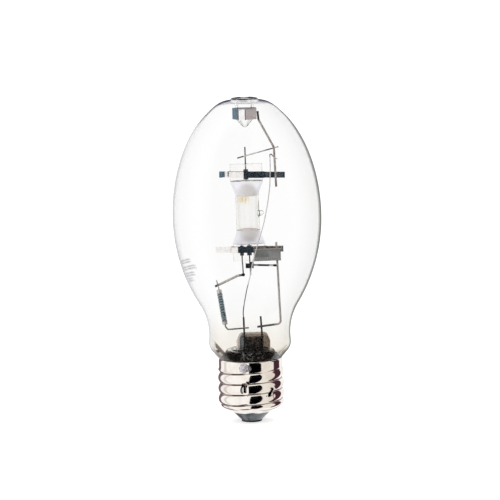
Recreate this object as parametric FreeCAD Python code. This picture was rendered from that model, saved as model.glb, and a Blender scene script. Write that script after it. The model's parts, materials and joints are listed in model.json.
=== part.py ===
"""Metal halide lamp with an egg-shaped clear bulb and a mogul screw base.

Millimetres. +Z runs up the lamp, from the middle of the centre contact at the origin to the dimple
in the crown. +X is to the right and -Y is the front of the lamp.
"""
import FreeCAD, Part
import math
import os

Vec = FreeCAD.Vector
X_AXIS = Vec(1, 0, 0)
Y_AXIS = Vec(0, 1, 0)
Z_AXIS = Vec(0, 0, 1)

# Fits between pieces
touch_gap = 0.02
sheet_gap = 0.05
loose_gap = 0.10

# Screw shell, rolled from nickel-plated brass sheet
crest_diameter = 39.5
thread_pitch = 6.35
thread_depth = 1.25
shell_sheet = 0.35
shell_rim_z = 38.6
skirt_height = 5.2
skirt_run_out = 2.0
right_crest_z = 17.3
shell_corner_radius = 5.0
shell_floor_slope = 27.0
shell_opening_radius = 11.6
shell_opening_z = 6.1
lower_run_out = 5.0
rows_per_pitch = 6
columns_per_turn = 16
stake_width = 1.1
stake_height = 4.4
stake_tilt = 16.0
stake_places = ((-102.0, 22.4), (-52.0, 19.8))
solder_bearing = -100.5
solder_z = 35.1
solder_half_width = 3.6
solder_half_height = 2.6
solder_rise = 0.7

# Insulator and contact at the foot of the base
contact_radius = 6.2
contact_thickness = 0.9
contact_edge_round = 0.45
contact_hole_radius = 1.2
insulator_hole_radius = 1.3
insulator_top_z = 11.0
insulator_rim_wall = 0.6

# Blown glass bulb
glass_wall = 1.1
neck_radius = 17.2
neck_end_z = 24.0
waist_radius = 24.3
waist_curve = 34.0
waist_z = 53.41
neck_shoulder_radius = 7.6
neck_shoulder_drop = 5.2
belly_radius = 44.4
belly_curve = 100.0
crown_height = 71.8
dimple_radius = 4.1
dimple_lip_radius = 2.6
dimple_depth = 16.6
dimple_tip_radius = 1.0
dimple_cone_angle = 50.0

# Glass stem, sealed to the end of the neck
stem_radius = 15.5
stem_wall = 1.3
stem_top_z = 44.2
stem_shoulder = 4.2
stem_flange_thickness = 1.5
press_centre_x = 2.05
press_width = 20.2
press_top_width = 16.0
press_shoulder_z = 49.0
press_top_z = 53.8
press_thickness = 6.0
press_corner = 2.4
press_edge_round = 1.6
exhaust_radius = 2.6
exhaust_wall = 1.0
exhaust_tip_z = 18.0
stem_lead_x = {"left": -3.3, "right": 7.3}
stem_lead_lean = {"left": -0.2, "right": -0.6}
stem_lead_rise = {"left": 9.4, "right": 9.8}
stem_lead_stub = 1.2
stem_lead_cover = 1.0
stem_lead_bend = 20.0

# Wires and rods
frame_rod_diameter = 1.3
frame_reach = 7.8
upper_rod_top_rise = 4.7
upper_rod_flare = 0.4
upper_rod_corner_share = 0.362
upper_rod_corner_in = 0.5
upper_rod_drop = 7.5
upper_rod_bend = 4.0
lower_rod_rise = 4.15
lower_rod_knee_drop = 6.95
lower_rod_lean = (0.35, 1.3)
lower_rod_foot_rise = 5.1
lower_rod_end_x = 4.6
lower_rod_end_rise = 3.5
lower_rod_bend = 2.2
stem_lead_diameter = 1.15
arc_lead_diameter = 0.84
crossbar_diameter = 1.2
crossbar_start_x = 1.2
crossbar_start_drop = 2.65
crossbar_end_drop = 3.1
crossbar_rod_lean = 0.08
probe_bar_diameter = 1.0
probe_bar_start = (-3.02, 8.45)
probe_bar_knee = (-6.5, 9.0)
probe_bar_end = ((-0.5, 2.7), (-2.2, 2.0))
probe_bar_bend = 3.0
upper_bar_diameter = 0.8
upper_bar_share = 0.181
upper_bar_slope = 0.25
upper_bar_left = -5.0
upper_bar_right = 2.2
flying_lead_diameter = 0.6
flying_lead_bend = 25.0
flying_lead_hook = ((1.4, 9.1), (-0.6, 10.2))
flying_lead_bow = (
    (14.4, -2.4), (14.5, -3.6), (14.0, -7.5), (12.4, -11.0), (9.9, -12.6), (6.6, -12.6), (3.8, -11.6),
    (2.15, -10.3))
flying_lead_bow_share = (1.048, 0.936, 0.741, 0.584, 0.405, 0.241, 0.102, 0.0)
flying_lead_tail = ((0.9, -8.6), (-1.2, -6.2), (-2.7, -3.6), (-3.75, -1.5))
flying_lead_tail_share = (0.796, 0.545, 0.307, 0.1)
flying_lead_foot = ((-0.15, -0.6), (-0.12, -3.6))
resistor_lead_diameter = 0.7
base_lead_diameter = 0.7
centre_lead_diameter = 0.8
centre_lead_gather = (5.0, 1.6)
centre_lead_bend = 2.0
shell_lead_dip = 3.2
shell_lead_drop = 5.0
shell_lead_inner = (3.0, 9.0)
shell_lead_corner_radius = 8.0
shell_lead_bend = 1.2
weld_bead_radius = 0.8

# Straps, getter and spring clip, all bent from strip
strap_thickness = 0.3
strap_height = 3.55
strap_jog_run = 0.9
strap_side_gap = 0.5
strap_bend = 0.5
upper_strap_on_pinch = 2.9
upper_strap_arms = (3.14, 13.36)
upper_strap_slope = 1.6
upper_strap_curl = ((-1.5, -2.4), (-3.25, -2.1), (-3.5, -0.6))
lower_strap_on_pinch = 2.55
lower_strap_arms = (10.3, 10.85)
getter_reach = 14.0
getter_length = 16.2
getter_drop = 2.95
getter_height = 7.6
getter_rim_height = 1.15
getter_rim_rise = 0.55
getter_sheet = 0.25
getter_blend = 0.3
getter_edge_share = 1.3
getter_turn = 5.6
clip_sheet = 0.35
clip_height = 6.8
clip_depth = 13.7
clip_corners = ((-7.3, 0.8), (-3.7, -5.85), (0.4, -6.3), (7.05, -2.8), (7.05, 2.8), (0.4, 6.3), (-3.7, 5.85))

# Quartz arc tube, described upright on its own axis and leaned by arc_tube_lean at the end
arc_tube_x = 0.45
arc_tube_rise = 2.25
arc_tube_lean = 0.78
arc_body_radius = 7.0
arc_body_half_length = 10.75
pinch_run = 9.0
pinch_length = 9.3
pinch_half_width = 9.6
pinch_half_thickness = 1.8
cavity_radius = 5.9
cavity_dome_reach = 5.85
tip_off_length = 3.3
tip_off_sink = 0.6
tip_off_drop = 0.9
tip_off_rise = 12.0
tip_off_root_radius = 2.0
tip_off_tip_radius = 0.85
coat_thickness = 0.12
coat_edge = 0.4
coat_pinch_overrun = -0.9
section_points = 16
pinch_stations = 6
pinch_squareness = 4.0

# Conductors sealed in the pinches
foil_thickness = 0.06
foil_half_length = 3.1
main_foil_width = 2.8
probe_foil_width = 2.2
foil_start = 3.2
electrode_radius = 0.4
electrode_tip_run = 2.25
electrode_coil_turns = 4
electrode_coil_wire = 0.62
electrode_coil_start = 0.5
upper_lead_offset = -0.25
lower_lead_offset = 0.15
upper_lead_share = 0.378
lower_lead_reach = 8.55
probe_lead_reach = 8.05
lower_lead_kink = 0.33
arc_lead_bend = 8.0
probe_offset = -4.3
probe_radius = 0.25
probe_tip_run = 1.85
probe_knee_run = 4.45
probe_lean = (0.1, 0.7)
probe_bend = 3.0

# Starting resistor
resistor_top_x = -17.8
resistor_foot_x = -14.6
resistor_top_rise = 26.3
resistor_foot_rise = 5.3
resistor_body_radius = 1.45
resistor_cap_radius = 1.6
resistor_cap_length = 2.6
resistor_cap_round = 0.35
resistor_lead_run = 1.4
resistor_lead_top = (-1.4, 5.8)
resistor_lead_corner = (1.5, 3.1)
resistor_lead_end = (2.7, 2.3)
resistor_lead_bend = 1.2

# Bimetal switch between the main lead and the probe lead
bracket_sheet = 0.3
bracket_height = 2.9
bracket_drop = 2.1
bracket_bend = 0.45
bracket_right = 3.4
bracket_left = -1.5
bracket_foot_left = 0.9
bracket_front = -7.3
blade_sheet = 0.25
blade_tip_y = 0.45
blade_height = 2.3

# Worked out from the values above
shell_radius = (crest_diameter - thread_depth) / 2
thread_swing = thread_depth / 2
rod_radius = frame_rod_diameter / 2
rod_y = -(strap_thickness + touch_gap + rod_radius)
stem_lead_y = rod_y + rod_radius + touch_gap / 2 + stem_lead_diameter / 2
stem_lead_foot_z = stem_top_z - stem_wall - stem_lead_stub
resistor_y = stem_lead_y - stem_lead_diameter / 2 - touch_gap - resistor_lead_diameter / 2
frame_x = pinch_half_width + frame_reach
crossbar_end_x = frame_x + crossbar_rod_lean - rod_radius - touch_gap
waist_centre_x = waist_radius + waist_curve
belly_centre_x = belly_radius - belly_curve
belly_z = waist_z + math.sqrt((belly_curve + waist_curve) ** 2 - (waist_centre_x - belly_centre_x) ** 2)
crown_z = belly_z + crown_height
dimple_tip_z = crown_z - dimple_depth
clip_foot_z = crown_z - clip_depth
arc_tube_z = belly_z + arc_tube_rise
upper_strap_z = arc_tube_z + arc_body_half_length + pinch_run + upper_strap_on_pinch
lower_strap_z = arc_tube_z - arc_body_half_length - pinch_run - lower_strap_on_pinch
getter_z = lower_strap_z - getter_drop
resistor_top_z = press_top_z + resistor_top_rise
pinch_end = arc_body_half_length + pinch_run + pinch_length
pinch_top_z = arc_tube_z + pinch_end
pinch_foot_z = arc_tube_z - pinch_end
bracket_z = pinch_foot_z - bracket_drop
electrode_reach = arc_body_half_length + electrode_tip_run
probe_reach = arc_body_half_length + probe_tip_run
probe_knee = arc_body_half_length + probe_knee_run
foil_outer = pinch_end - foil_start
foil_inner = foil_outer - 2 * foil_half_length


def line(start, end):
    return Part.makeLine(start, end)


def arc(start, middle, end):
    return Part.Arc(start, middle, end).toShape()


def unit(vector):
    return Vec(vector) * (1.0 / vector.Length)


def rounded_path(points, radius):
    """Straight runs through the points, joined by tangent arcs of the given radius where there is room."""
    edges = []
    here = points[0]
    for before, corner, after in zip(points, points[1:], points[2:]):
        run_in = unit(before - corner)
        run_out = unit(after - corner)
        half_turn = (math.pi - run_in.getAngle(run_out)) / 2
        if half_turn < 0.002:
            continue
        room = 0.45 * min((before - corner).Length, (after - corner).Length)
        bend = min(radius, room / math.tan(half_turn))
        set_back = bend * math.tan(half_turn)
        start = corner + run_in * set_back
        end = corner + run_out * set_back
        bisector = unit(run_in + run_out)
        middle = corner + bisector * (bend / math.cos(half_turn) - bend)
        edges.append(line(here, start))
        edges.append(arc(start, middle, end))
        here = end
    edges.append(line(here, points[-1]))
    return Part.Wire(edges)


def bent_wire(points, diameter, bend):
    """A round wire or rod bent along a path."""
    path = rounded_path([Vec(*point) for point in points], bend)
    start = path.Edges[0].valueAt(path.Edges[0].FirstParameter)
    heading = path.Edges[0].tangentAt(path.Edges[0].FirstParameter)
    section = Part.Wire([Part.makeCircle(diameter / 2, start, heading)])
    return path.makePipeShell([section], True, True)


def bent_strip(points, thickness, low, height, bend):
    """A strip standing on edge: a path in plan, thickened to its right and raised."""
    path = rounded_path([Vec(x, y, low) for x, y in points], bend)
    face = path.makeOffset2D(thickness, 0, True, True)
    return face.extrude(Vec(0, 0, height))


def filled_outline(points, radius, depth):
    """A plate cut to a rounded outline in the X-Z plane and centred on Y = 0."""
    middle = (points[0] + points[-1]) * 0.5
    outline = rounded_path([middle] + points + [middle], radius)
    return Part.Face(outline).extrude(Vec(0, depth, 0)).translated(Vec(0, -depth / 2, 0))


def turned(edges):
    """A solid of revolution about the lamp's axis."""
    return Part.Face(Part.Wire(edges)).revolve(Vec(0, 0, 0), Z_AXIS, 360)


def turned_corners(corners):
    points = [Vec(radius, 0, height) for radius, height in corners]
    return turned([line(a, b) for a, b in zip(points, points[1:] + points[:1])])


def polar(centre, radius, angle):
    """A point on a circle in the X-Z plane, with the angle measured up from +X."""
    return centre + Vec(radius * math.cos(angle), 0, radius * math.sin(angle))


def arc_between(centre, radius, first, last):
    middle = (first + last) / 2
    return arc(polar(centre, radius, first), polar(centre, radius, middle), polar(centre, radius, last))


def dimple_lip(inset):
    """The centre height of the lip's arc and the crown's parameter where the lip leaves the crown."""
    across = belly_radius - inset
    up = crown_height - inset
    lip = dimple_lip_radius - inset
    target = dimple_radius + dimple_lip_radius
    low, high = math.radians(60), math.radians(89.9)
    for _ in range(60):
        t = (low + high) / 2
        normal = unit(Vec(math.cos(t) / across, 0, math.sin(t) / up))
        centre = Vec(across * math.cos(t), 0, belly_z + up * math.sin(t)) - normal * lip
        if centre.x > target:
            low = t
        else:
            high = t
    return centre, t, normal


def bulb_outline(inset):
    """The glass surface from the end of the neck to the tip of the dimple, set in by the given wall."""
    belly_centre = Vec(belly_centre_x, 0, belly_z)
    waist_centre = Vec(waist_centre_x, 0, waist_z)
    reach = math.sqrt((waist_curve + neck_shoulder_radius) ** 2 - neck_shoulder_drop ** 2)
    shoulder_centre = waist_centre - Vec(reach, 0, neck_shoulder_drop)

    seat = Vec(neck_radius, 0, shell_rim_z - (shell_radius - shell_sheet - loose_gap - neck_radius))
    to_centre = shoulder_centre - seat
    lean = math.acos(-neck_shoulder_radius / to_centre.Length) - math.atan2(to_centre.z, to_centre.x)
    foot = Vec(neck_radius - inset, 0, neck_end_z)
    corner = Vec(neck_radius - inset, 0, seat.z + inset * math.tan(lean / 2))
    shoulder_first = -lean
    shoulder_last = math.atan2(neck_shoulder_drop, reach)
    shoulder_round = neck_shoulder_radius - inset
    waist_round = waist_curve + inset
    waist_low = polar(shoulder_centre, shoulder_round, shoulder_last)
    to_belly = unit(belly_centre - waist_centre)
    waist_high = waist_centre + to_belly * waist_round
    waist_middle = waist_centre + unit((waist_low - waist_centre) + (waist_high - waist_centre)) * waist_round
    belly_first = math.atan2(-to_belly.z, -to_belly.x)

    lip_centre, lip_start, lip_normal = dimple_lip(inset)
    crown = Part.Ellipse(
        Vec(0, 0, belly_z + crown_height - inset), Vec(belly_radius - inset, 0, belly_z), Vec(0, 0, belly_z))
    belly_point = Vec(belly_radius - inset, 0, belly_z)
    lip_point = lip_centre + lip_normal * (dimple_lip_radius - inset)
    ends = (crown.parameter(belly_point), crown.parameter(lip_point))
    both_ways = (Part.ArcOfEllipse(crown, ends[0], ends[1]), Part.ArcOfEllipse(crown, ends[1], ends[0]))
    crown_arc = min(both_ways, key=lambda curve: curve.length())
    lip_first = math.atan2(lip_normal.z, lip_normal.x)

    cone = math.radians(dimple_cone_angle)
    tip_centre = Vec(0, 0, dimple_tip_z)
    tip_round = dimple_tip_radius + inset
    tip_side = polar(tip_centre, tip_round, cone - math.pi / 2)
    well = dimple_radius + inset
    tip_corner = tip_side + Vec(math.cos(cone), 0, math.sin(cone)) * ((well - tip_side.x) / math.cos(cone))
    lip_round = dimple_lip_radius - inset
    return [
        line(foot, corner),
        line(corner, polar(shoulder_centre, shoulder_round, shoulder_first)),
        arc_between(shoulder_centre, shoulder_round, shoulder_first, shoulder_last),
        arc(waist_low, waist_middle, waist_high),
        arc_between(belly_centre, belly_curve - inset, belly_first, 0),
        crown_arc.toShape(),
        arc_between(lip_centre, lip_round, lip_first, math.pi),
        line(polar(lip_centre, lip_round, math.pi), tip_corner),
        line(tip_corner, tip_side),
        arc_between(tip_centre, tip_round, cone - math.pi / 2, -math.pi / 2),
    ]


def outer_envelope():
    outside = bulb_outline(0)
    inside = bulb_outline(glass_wall)
    neck_end = line(Vec(neck_radius, 0, neck_end_z), Vec(neck_radius - glass_wall, 0, neck_end_z))
    tip_z = dimple_tip_z - dimple_tip_radius
    tip = line(Vec(0, 0, tip_z), Vec(0, 0, tip_z - glass_wall))
    profile = Part.Wire(Part.__sortEdges__(outside + [tip] + inside + [neck_end]))
    return Part.Face(profile).revolve(Vec(0, 0, 0), Z_AXIS, 360)


def smooth_step(value):
    value = max(0.0, min(1.0, value))
    return value * value * (3 - 2 * value)


def shell_rows(inset):
    """Radius, height and thread strength of each ring of the shell, from the rim down to the opening."""
    slope = math.radians(shell_floor_slope)
    turn = math.pi / 2 - slope
    corner_x = shell_radius - shell_corner_radius
    corner_round = shell_corner_radius - inset
    floor_start_x = corner_x + shell_corner_radius * math.cos(turn)
    floor_drop = (floor_start_x - shell_opening_radius) * math.tan(slope)
    corner_z = shell_opening_z + floor_drop + shell_corner_radius * math.sin(turn)

    thread_top = shell_rim_z - skirt_height
    row_step = thread_pitch / rows_per_pitch
    rows = []
    steps = round((shell_rim_z - corner_z) / row_step)
    for i in range(steps + 1):
        z = shell_rim_z + (corner_z - shell_rim_z) * i / steps
        rows.append((shell_radius - inset, z))
    steps = round(shell_corner_radius * turn / row_step)
    for i in range(1, steps + 1):
        angle = turn * i / steps
        rows.append((corner_x + corner_round * math.cos(angle), corner_z - corner_round * math.sin(angle)))
    end_x = shell_opening_radius - inset * math.sin(slope)
    end_z = shell_opening_z + inset * math.cos(slope)
    last_x, last_z = rows[-1]
    steps = round((last_x - end_x) / math.cos(slope) / row_step)
    for i in range(1, steps + 1):
        rows.append((last_x + (end_x - last_x) * i / steps, last_z + (end_z - last_z) * i / steps))

    fade_foot = corner_z - shell_corner_radius
    strengths = []
    for radius, z in rows:
        upper = smooth_step((thread_top - z) / skirt_run_out)
        lower = smooth_step((z - fade_foot) / lower_run_out)
        strengths.append(thread_swing * upper * lower)
    return [(radius, z, swing) for (radius, z), swing in zip(rows, strengths)]


def threaded_surface(inset):
    """A right-handed rolled thread: each ring swells where the helix of the crest passes."""
    grid = []
    for radius, z, swing in shell_rows(inset):
        ring = []
        for i in range(columns_per_turn + 1):
            turn = 2 * math.pi * i / columns_per_turn
            phase = 2 * math.pi * (z - right_crest_z) / thread_pitch - turn
            r = radius + swing * math.cos(phase)
            ring.append(Vec(r * math.cos(turn), r * math.sin(turn), z))
        grid.append(ring)
    surface = Part.BSplineSurface()
    surface.interpolate(grid)
    return surface.toShape()


def ring_edge(shape, z):
    """The edge of a turned or threaded shape that lies level at the given height."""
    for edge in shape.Edges:
        if abs(edge.BoundBox.ZMin - z) < 0.001 and abs(edge.BoundBox.ZMax - z) < 0.001:
            return edge


def screw_shell():
    outside = threaded_surface(0)
    inside = threaded_surface(shell_sheet)
    low_outside = shell_rows(0)[-1][1]
    low_inside = shell_rows(shell_sheet)[-1][1]
    rim = Part.makeRuledSurface(ring_edge(outside, shell_rim_z), ring_edge(inside, shell_rim_z))
    foot = Part.makeRuledSurface(ring_edge(outside, low_outside), ring_edge(inside, low_inside))
    skin = Part.makeCompound([outside, inside, rim, foot])
    skin.sewShape()
    shell = Part.makeSolid(skin.Shells[0])
    if shell.Volume < 0:
        shell.reverse()
    for bearing, z in stake_places:
        shell = shell.cut(stake_slot(bearing, z))
    return shell.cut(solder_hole())


def stake_slot(bearing, z):
    """The narrow dent that locks the shell to the glass, as a slot through the sheet."""
    depth = thread_depth + 4 * shell_sheet
    corner = Vec(-depth / 2, -stake_width / 2, -stake_height / 2)
    slot = Part.makeBox(depth, stake_width, stake_height, corner)
    slot = slot.makeFillet(stake_width * 0.45, [e for e in slot.Edges if abs(e.tangentAt(0).x) > 0.9])
    slot.rotate(Vec(0, 0, 0), X_AXIS, stake_tilt)
    slot.translate(Vec(shell_radius, 0, z))
    slot.rotate(Vec(0, 0, 0), Z_AXIS, bearing)
    return slot


def solder_hole():
    """The hole in the skirt through which the side lead comes out to its solder."""
    radius = base_lead_diameter / 2 + loose_gap
    start = Vec(shell_radius - 3 * shell_sheet, 0, solder_z)
    hole = Part.makeCylinder(radius, 6 * shell_sheet, start, X_AXIS)
    hole.rotate(Vec(0, 0, 0), Z_AXIS, solder_bearing)
    return hole


def shell_solder():
    """A flattened lump of solder on the skirt."""
    lump = Part.makeSphere(1)
    squash = FreeCAD.Matrix()
    squash.scale(solder_rise, solder_half_width, solder_half_height)
    lump = lump.transformGeometry(squash)
    lump.translate(Vec(shell_radius, 0, solder_z))
    lump.rotate(Vec(0, 0, 0), Z_AXIS, solder_bearing)
    skirt = Part.makeCylinder(shell_radius + touch_gap, 2 * solder_z)
    return lump.cut(skirt)


def base_insulator():
    slope = math.radians(shell_floor_slope)
    inner_x = shell_opening_radius - shell_sheet * math.sin(slope)
    neck_x = inner_x - loose_gap
    lift = (shell_sheet + loose_gap) / math.cos(slope)
    throat_z = shell_opening_z + lift + (neck_x - shell_opening_radius) * math.tan(slope)
    rim_x = shell_radius - shell_corner_radius + insulator_rim_wall
    rim_z = shell_opening_z + lift + (rim_x - shell_opening_radius) * math.tan(slope)
    return turned_corners((
        (insulator_hole_radius, contact_thickness),
        (contact_radius, contact_thickness),
        (neck_x, contact_thickness + neck_x - contact_radius),
        (neck_x, throat_z),
        (rim_x, rim_z),
        (rim_x, insulator_top_z),
        (insulator_hole_radius, insulator_top_z),
    ))


def centre_contact():
    disc = Part.makeCylinder(contact_radius, contact_thickness)
    lower_rim = [e for e in disc.Edges if e.BoundBox.ZMax < 0.001]
    disc = disc.makeFillet(contact_edge_round, lower_rim)
    return disc.cut(Part.makeCylinder(contact_hole_radius, contact_thickness))


def contact_solder():
    return Part.makeCylinder(contact_hole_radius, contact_thickness)


def stem_lead(side):
    """A stiff lead through the press, leaning slightly above it."""
    x = stem_lead_x[side]
    top_z = press_top_z + stem_lead_rise[side]
    route = ((x + stem_lead_lean[side], top_z), (x, press_top_z - stem_lead_cover), (x, stem_lead_foot_z))
    return bent_wire([(x, stem_lead_y, z) for x, z in route], stem_lead_diameter, stem_lead_bend)


def exhaust_tube():
    top = stem_top_z - stem_wall
    outside = Part.makeCylinder(exhaust_radius, top - exhaust_tip_z, Vec(0, 0, exhaust_tip_z))
    outside = outside.makeFillet(
        exhaust_radius * 0.9, [e for e in outside.Edges if e.BoundBox.ZMax < exhaust_tip_z + 0.001])
    bore_foot = exhaust_tip_z + exhaust_radius
    bore = Part.makeCylinder(exhaust_radius - exhaust_wall, top - bore_foot, Vec(0, 0, bore_foot))
    return outside.cut(bore).translated(Vec(press_centre_x, 0, 0))


def stem_glass():
    """The flare tube, its flange at the neck's end, and the flat press that holds the two leads."""
    inner = stem_radius - stem_wall
    flange_foot = neck_end_z - stem_flange_thickness
    ceiling = stem_top_z - stem_wall
    tube = turned_corners((
        (inner, flange_foot), (neck_radius, flange_foot), (neck_radius, neck_end_z),
        (stem_radius, neck_end_z), (stem_radius, stem_top_z), (0, stem_top_z), (0, ceiling), (inner, ceiling),
    ))
    tube = tube.makeFillet(stem_shoulder, [ring_edge(tube, stem_top_z)])
    tube = tube.makeFillet(stem_shoulder - stem_wall, [ring_edge(tube, ceiling)])

    half = press_width / 2
    half_top = press_top_width / 2
    sunk = stem_top_z - stem_wall / 2
    outline = [
        Vec(press_centre_x - half, 0, sunk), Vec(press_centre_x - half, 0, press_shoulder_z),
        Vec(press_centre_x - half_top, 0, press_top_z), Vec(press_centre_x + half_top, 0, press_top_z),
        Vec(press_centre_x + half, 0, press_shoulder_z), Vec(press_centre_x + half, 0, sunk),
    ]
    press = filled_outline(outline, press_corner, press_thickness)
    upright = [e for e in press.Edges if abs(abs(e.CenterOfMass.y) - press_thickness / 2) < 0.001
               and e.BoundBox.ZMax > sunk + 0.1]
    press = press.makeFillet(press_edge_round, upright)
    stem = tube.fuse(press).removeSplitter()
    for side in ("left", "right"):
        stem = stem.cut(stem_lead(side))
    return stem


def centre_contact_lead():
    """From the left stem lead down through the insulator to the contact's solder."""
    x = stem_lead_x["left"]
    high, low = centre_lead_gather
    return bent_wire(((x, stem_lead_y, stem_lead_foot_z), (x, stem_lead_y, insulator_top_z + high),
                      (0, 0, insulator_top_z + low), (0, 0, contact_thickness)),
                     centre_lead_diameter, centre_lead_bend)


def shell_lead():
    """From the right stem lead, round the end of the neck and up inside the shell to the side solder."""
    x = stem_lead_x["right"]
    track = (neck_radius + shell_radius - thread_swing - shell_sheet) / 2
    bearing = math.radians(solder_bearing)

    def at(radius, z):
        return (radius * math.cos(bearing), radius * math.sin(bearing), z)

    low = neck_end_z - stem_flange_thickness - shell_lead_dip
    forward, rise = shell_lead_inner
    start = stem_lead_foot_z
    return bent_wire(((x, stem_lead_y, start), (x, stem_lead_y, start - shell_lead_drop),
                      (x, -forward, low + rise), at(shell_lead_corner_radius, low), at(track, low),
                      at(track, solder_z), at(shell_radius - touch_gap, solder_z)),
                     base_lead_diameter, shell_lead_bend)


def dimple_clip():
    """A spring band bent into flats round the dimple, with its ends meeting beside the frame rod."""
    ring = [Vec(x, y, clip_foot_z) for x, y in clip_corners]
    outside = Part.Face(Part.makePolygon(ring + ring[:1]))
    inside = Part.Face(outside.OuterWire.makeOffset2D(-clip_sheet))
    return outside.cut(inside).extrude(Vec(0, 0, clip_height))


def upper_frame_rod():
    x = max(x for x, _ in clip_corners) + rod_radius + touch_gap
    top_z = clip_foot_z + upper_rod_top_rise
    corner_z = pinch_top_z + upper_rod_corner_share * (clip_foot_z - pinch_top_z)
    foot_z = upper_strap_z - upper_rod_drop
    route = ((x, top_z), (x + upper_rod_flare, clip_foot_z - upper_rod_flare),
             (frame_x - upper_rod_corner_in, corner_z), (frame_x + upper_rod_flare, foot_z))
    return bent_wire([(x, rod_y, z) for x, z in route], frame_rod_diameter, upper_rod_bend)


def lower_frame_rod():
    lean_in, lean_out = lower_rod_lean
    top_z = lower_strap_z + lower_rod_rise
    knee_z = lower_strap_z - lower_rod_knee_drop
    foot_z = press_top_z + lower_rod_foot_rise
    end_z = press_top_z + lower_rod_end_rise
    route = ((frame_x - lean_in, top_z), (frame_x, knee_z), (frame_x + lean_out, foot_z),
             (lower_rod_end_x, end_z))
    return bent_wire([(x, rod_y, z) for x, z in route], frame_rod_diameter, lower_rod_bend)


def upper_crossbar():
    """A thin bar from the upper arc lead to the frame rod, in front of the lead and behind the rod."""
    reach = upper_bar_diameter / 2 + touch_gap
    at_lead = -(arc_lead_diameter / 2 + reach)
    at_rod = rod_y + rod_radius + reach
    upper_bar_z = pinch_top_z + upper_bar_share * (clip_foot_z - pinch_top_z)
    lead_x = axis_x(upper_bar_z) + upper_lead_offset
    rod_x = frame_x - upper_rod_corner_in
    ends = []
    for x in (upper_bar_left, frame_x + upper_bar_right):
        along = (x - lead_x) / (rod_x - lead_x)
        z = upper_bar_z + upper_bar_slope * (x - lead_x)
        ends.append((x, at_lead + along * (at_rod - at_lead), z))
    return bent_wire(ends, upper_bar_diameter, 1)


def flying_lead():
    """The thin lead that bows clear of the arc tube, from the upper rod down to the left stem lead."""
    reach = flying_lead_diameter / 2 + touch_gap
    on_rod = rod_y - rod_radius - reach
    on_lead = stem_lead_y - stem_lead_diameter / 2 - reach
    low = press_top_z + stem_lead_rise["left"]
    high = upper_strap_z + flying_lead_hook[-1][1]
    hook = [(frame_x + x, on_rod, upper_strap_z + z) for x, z in flying_lead_hook]
    bow = [(x, y, bracket_z + share * (high - bracket_z))
           for (x, y), share in zip(flying_lead_bow, flying_lead_bow_share)]
    tail = [(x, y, low + share * (bracket_z - low))
            for (x, y), share in zip(flying_lead_tail, flying_lead_tail_share)]
    foot = [(stem_lead_x["left"] + x, on_lead, low + z) for x, z in flying_lead_foot]
    return bent_wire(hook + bow + tail + foot, flying_lead_diameter, flying_lead_bend)


def strap_outline(side, arms, centre):
    """One half of a strap in plan; it lies on the middle line and steps out round the pinch."""
    left = centre - pinch_half_width - arms[0]
    right = centre + pinch_half_width + arms[1]
    rest = side * touch_gap
    proud = side * (pinch_half_thickness + touch_gap)
    step = pinch_half_width + strap_side_gap
    return [(left, rest), (centre - step - strap_jog_run, rest), (centre - step, proud),
            (centre + step, proud), (centre + step + strap_jog_run, rest), (right, rest)]


def strap_half(side, outline, z):
    """side is -1 for the front half and 1 for the back half."""
    return bent_strip(outline, -side * strap_thickness, z - strap_height / 2, strap_height, strap_bend)


def axis_x(z):
    """Where the leaning arc tube's axis is at a height."""
    return arc_tube_x - (z - arc_tube_z) * math.tan(math.radians(arc_tube_lean))


def upper_strap(side):
    centre = axis_x(upper_strap_z)
    outline = strap_outline(side, upper_strap_arms, centre)
    if side < 0:
        left = outline[0][0]
        outline = [(left + x, y) for x, y in upper_strap_curl] + outline
    strap = strap_half(side, outline, upper_strap_z)
    strap.rotate(Vec(centre, 0, upper_strap_z), Y_AXIS, upper_strap_slope)
    return strap


def lower_strap(side):
    centre = axis_x(lower_strap_z)
    return strap_half(side, strap_outline(side, lower_strap_arms, centre), lower_strap_z)


def getter_strip():
    """A flat strip with both long edges stepped forward, welded to the front of the lower rod."""
    back = rod_y - rod_radius - touch_gap
    half = getter_height / 2
    flat = half - getter_rim_height
    rise = getter_rim_rise
    blend = getter_blend
    edge = -getter_edge_share * rise
    section = (
        (edge, -half), (-rise, -half + blend), (-rise, -flat - blend), (0, -flat),
        (0, flat), (-rise, flat + blend), (-rise, half - blend), (edge, half))
    path = rounded_path([Vec(frame_x - getter_reach, back + y, z) for y, z in section], blend)
    face = path.makeOffset2D(-getter_sheet, 0, True, True)
    strip = face.extrude(Vec(getter_length, 0, 0)).translated(Vec(0, 0, getter_z))
    strip.rotate(Vec(frame_x, back, getter_z), Z_AXIS, getter_turn)
    return strip


def tube_section(half_width, half_thickness, squareness, z):
    """A closed section between a circle and a flat bar."""
    points = []
    for i in range(section_points):
        t = 2 * math.pi * i / section_points
        power = 2 / squareness
        x = half_width * math.copysign(abs(math.cos(t)) ** power, math.cos(t))
        y = half_thickness * math.copysign(abs(math.sin(t)) ** power, math.sin(t))
        points.append(Vec(x, y, z))
    curve = Part.BSplineCurve()
    curve.interpolate(points, PeriodicFlag=True)
    return Part.Wire([curve.toShape()])


def pinch_sections(skin, end):
    """Even stations from the round body to the flat pinch; end is 1 for the upper and -1 for the lower."""
    sections = []
    for i in range(pinch_stations + 1):
        along = i / pinch_stations
        widen = smooth_step(along)
        flatten = widen * (0.55 + 0.45 * along)
        half_width = arc_body_radius + widen * (pinch_half_width - arc_body_radius) + skin
        half_thickness = arc_body_radius + flatten * (pinch_half_thickness - arc_body_radius) + skin
        squareness = 2 + (pinch_squareness - 2) * along ** 2
        z = end * (arc_body_half_length + along * pinch_run)
        sections.append(tube_section(half_width, half_thickness, squareness, z))
    return sections


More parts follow.
